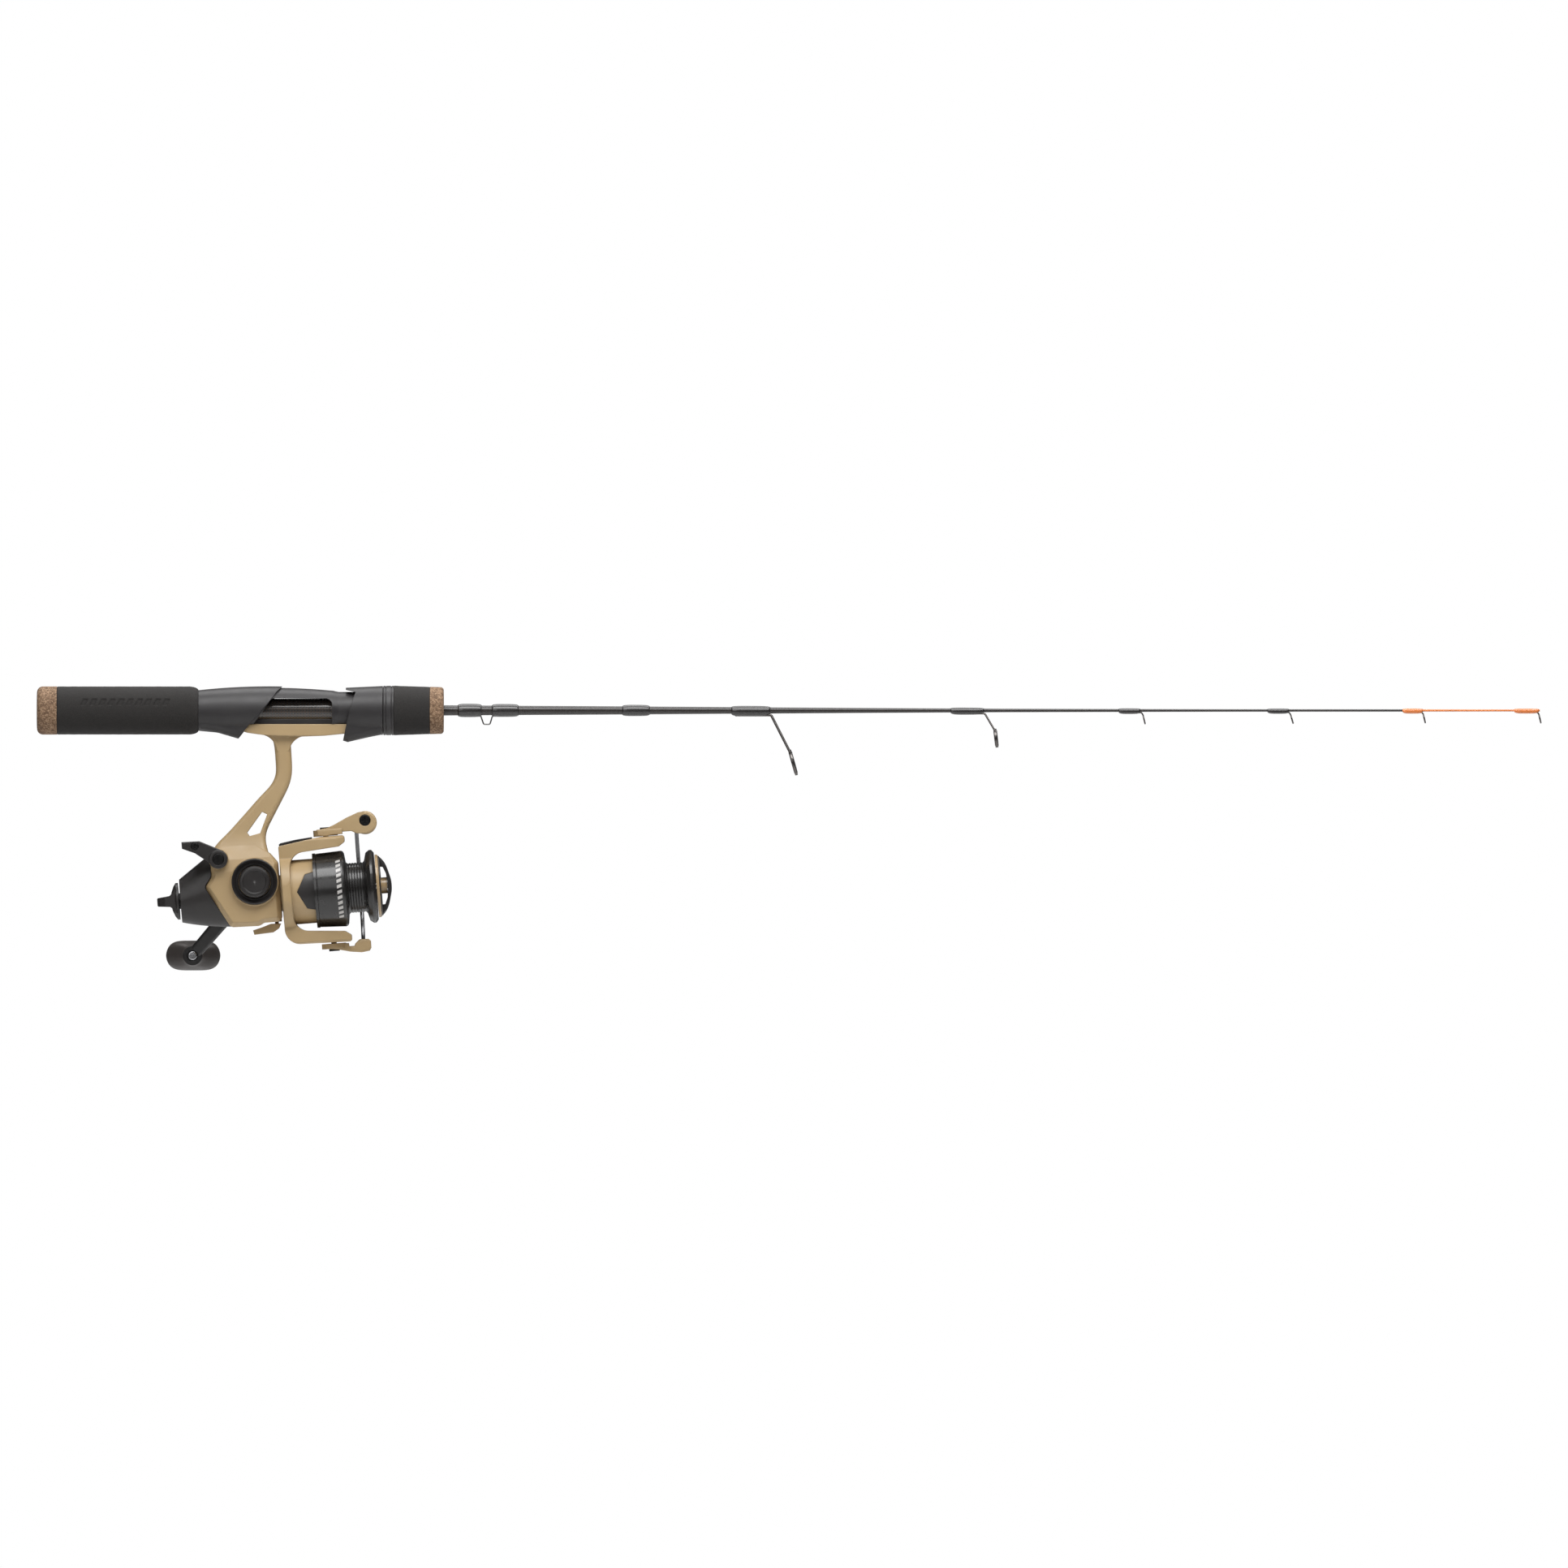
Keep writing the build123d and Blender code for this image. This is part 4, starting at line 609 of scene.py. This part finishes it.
def wrap_piece(node):
    """Bound and varnished thread: each wrap rises in a smooth curve from the blank."""
    slot_name, wraps = WRAPS[node]
    mesh = bmesh.new()
    count, steps = 40, 36
    for start, end, r_start, r_end, swell, sag in wraps:
        rings = []
        for i in range(steps + 1):
            t = i / steps
            rise = max(0.0, 1 - abs(2 * t - 1) ** 4) ** 0.5
            radius = r_start + (r_end - r_start) * t + 0.05 + swell * rise
            rings.append((start + (end - start) * t, radius, sag * rise))
        rings += [(end, r_end - 0.15, 0.0), (start, r_start - 0.15, 0.0)]
        made = []
        for x, radius, drop in rings:
            ring = []
            for i in range(count):
                angle = 2 * math.pi * i / count
                spot = Vector((x, radius * math.cos(angle), radius * math.sin(angle) - drop))
                ring.append(mesh.verts.new(spot * MM))
            made.append(ring)
        bridge(mesh, made, closed=True)
    piece_from(node + "_thread", mesh_data(node + "_thread", mesh), slot_name, "rod", node)


def seam_shade_ring_piece():
    """Thin dark ring filling the gap between the sliding hood and the locking ring; it is painted
    shade, standing in for the shaded seam where the two meet.
    """
    start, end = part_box("front_hood")[1].x / MM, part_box("lock_nut")[0].x / MM
    inset, bore, rim = 0.2 * (end - start), 8.4, 11.6
    near, far = start + inset, end - inset
    profile = [(near, bore), (near, rim), (far, rim), (far, bore)]
    piece_from("seam_shade_ring", lathe("seam_shade_ring", profile, 96), "screw_black", "locking_nut")


# -------------------------------------------------------------- studio and camera
FLOOR_RADIUS, FLOOR_HEIGHT = 1.5, -0.50
VIEW_WIDTH, VIEW_DISTANCE = 0.7935, 18.0
VIEW_CENTRE_X, VIEW_CENTRE_Z = 0.3780, -0.0372


def studio():
    """A pale round floor, a white surround, soft lights and a long lens square to the side."""
    mesh = bmesh.new()
    bmesh.ops.create_circle(mesh, cap_ends=True, segments=96, radius=FLOOR_RADIUS)
    data = bpy.data.meshes.new("floor")
    mesh.to_mesh(data)
    mesh.free()
    floor = bpy.data.objects.new("floor", data)
    floor.location = (0.38, 0.0, FLOOR_HEIGHT)
    bpy.context.scene.collection.objects.link(floor)
    paper = new_material("paper", (0.88, 0.88, 0.88), 0.9)
    glow = paper.node_tree.nodes["Principled BSDF"].inputs
    glow["Emission Color"].default_value = (1.0, 1.0, 1.0, 1.0)
    glow["Emission Strength"].default_value = 0.12
    data.materials.append(paper)

    world = bpy.data.worlds.new("studio")
    bpy.context.scene.world = world
    world.use_nodes = True
    tree = world.node_tree
    surround = tree.nodes["Background"]
    surround.inputs["Color"].default_value = (1, 1, 1, 1)
    seen = tree.nodes.new("ShaderNodeLightPath")
    level = tree.nodes.new("ShaderNodeMapRange")
    level.inputs["To Min"].default_value = 0.07
    level.inputs["To Max"].default_value = 1.0
    tree.links.new(seen.outputs["Is Camera Ray"], level.inputs["Value"])
    tree.links.new(level.outputs["Result"], surround.inputs["Strength"])
    for name, place, size, power, aim in (
        ("top", (0.36, -0.48, 0.64), (1.3, 0.45), 9.5, (0.36, 0.0, -0.03)),
        ("rim", (0.36, 0.26, 0.60), (1.4, 0.35), 4.5, (0.36, 0.0, -0.03)),
        ("front", (-0.7, -2.2, 0.7), (1.4, 1.4), 9.0, (0.3, 0.0, -0.05)),
        ("wash", (0.38, 0.0, 4.0), (4.2, 4.2), 46.0, (0.38, 0.0, 0.0)),
    ):
        lamp = bpy.data.lights.new(name, "AREA")
        lamp.shape = "RECTANGLE"
        lamp.size, lamp.size_y = size
        lamp.energy = power
        holder = bpy.data.objects.new(name, lamp)
        bpy.context.scene.collection.objects.link(holder)
        holder.location = place
        holder.rotation_euler = (Vector(aim) - Vector(place)).to_track_quat("-Z", "Y").to_euler()

    camera = bpy.data.cameras.new("camera")
    camera.sensor_width = 36.0
    camera.lens = camera.sensor_width * VIEW_DISTANCE / VIEW_WIDTH
    camera.clip_end = 100.0
    holder = bpy.data.objects.new("camera", camera)
    bpy.context.scene.collection.objects.link(holder)
    holder.location = (VIEW_CENTRE_X, -VIEW_DISTANCE, VIEW_CENTRE_Z)
    holder.rotation_euler = (math.pi / 2, 0.0, 0.0)
    bpy.context.scene.camera = holder
    bpy.context.scene.view_settings.view_transform = "Standard"


dress_cad_nodes()
rear_grip_piece()
fore_grip_piece()
handle_knob_piece()
# painted shade: a dark ring fills the seam between the sliding hood and the locking ring
seam_shade_ring_piece()
for wrapped in WRAPS:
    wrap_piece(wrapped)
studio()
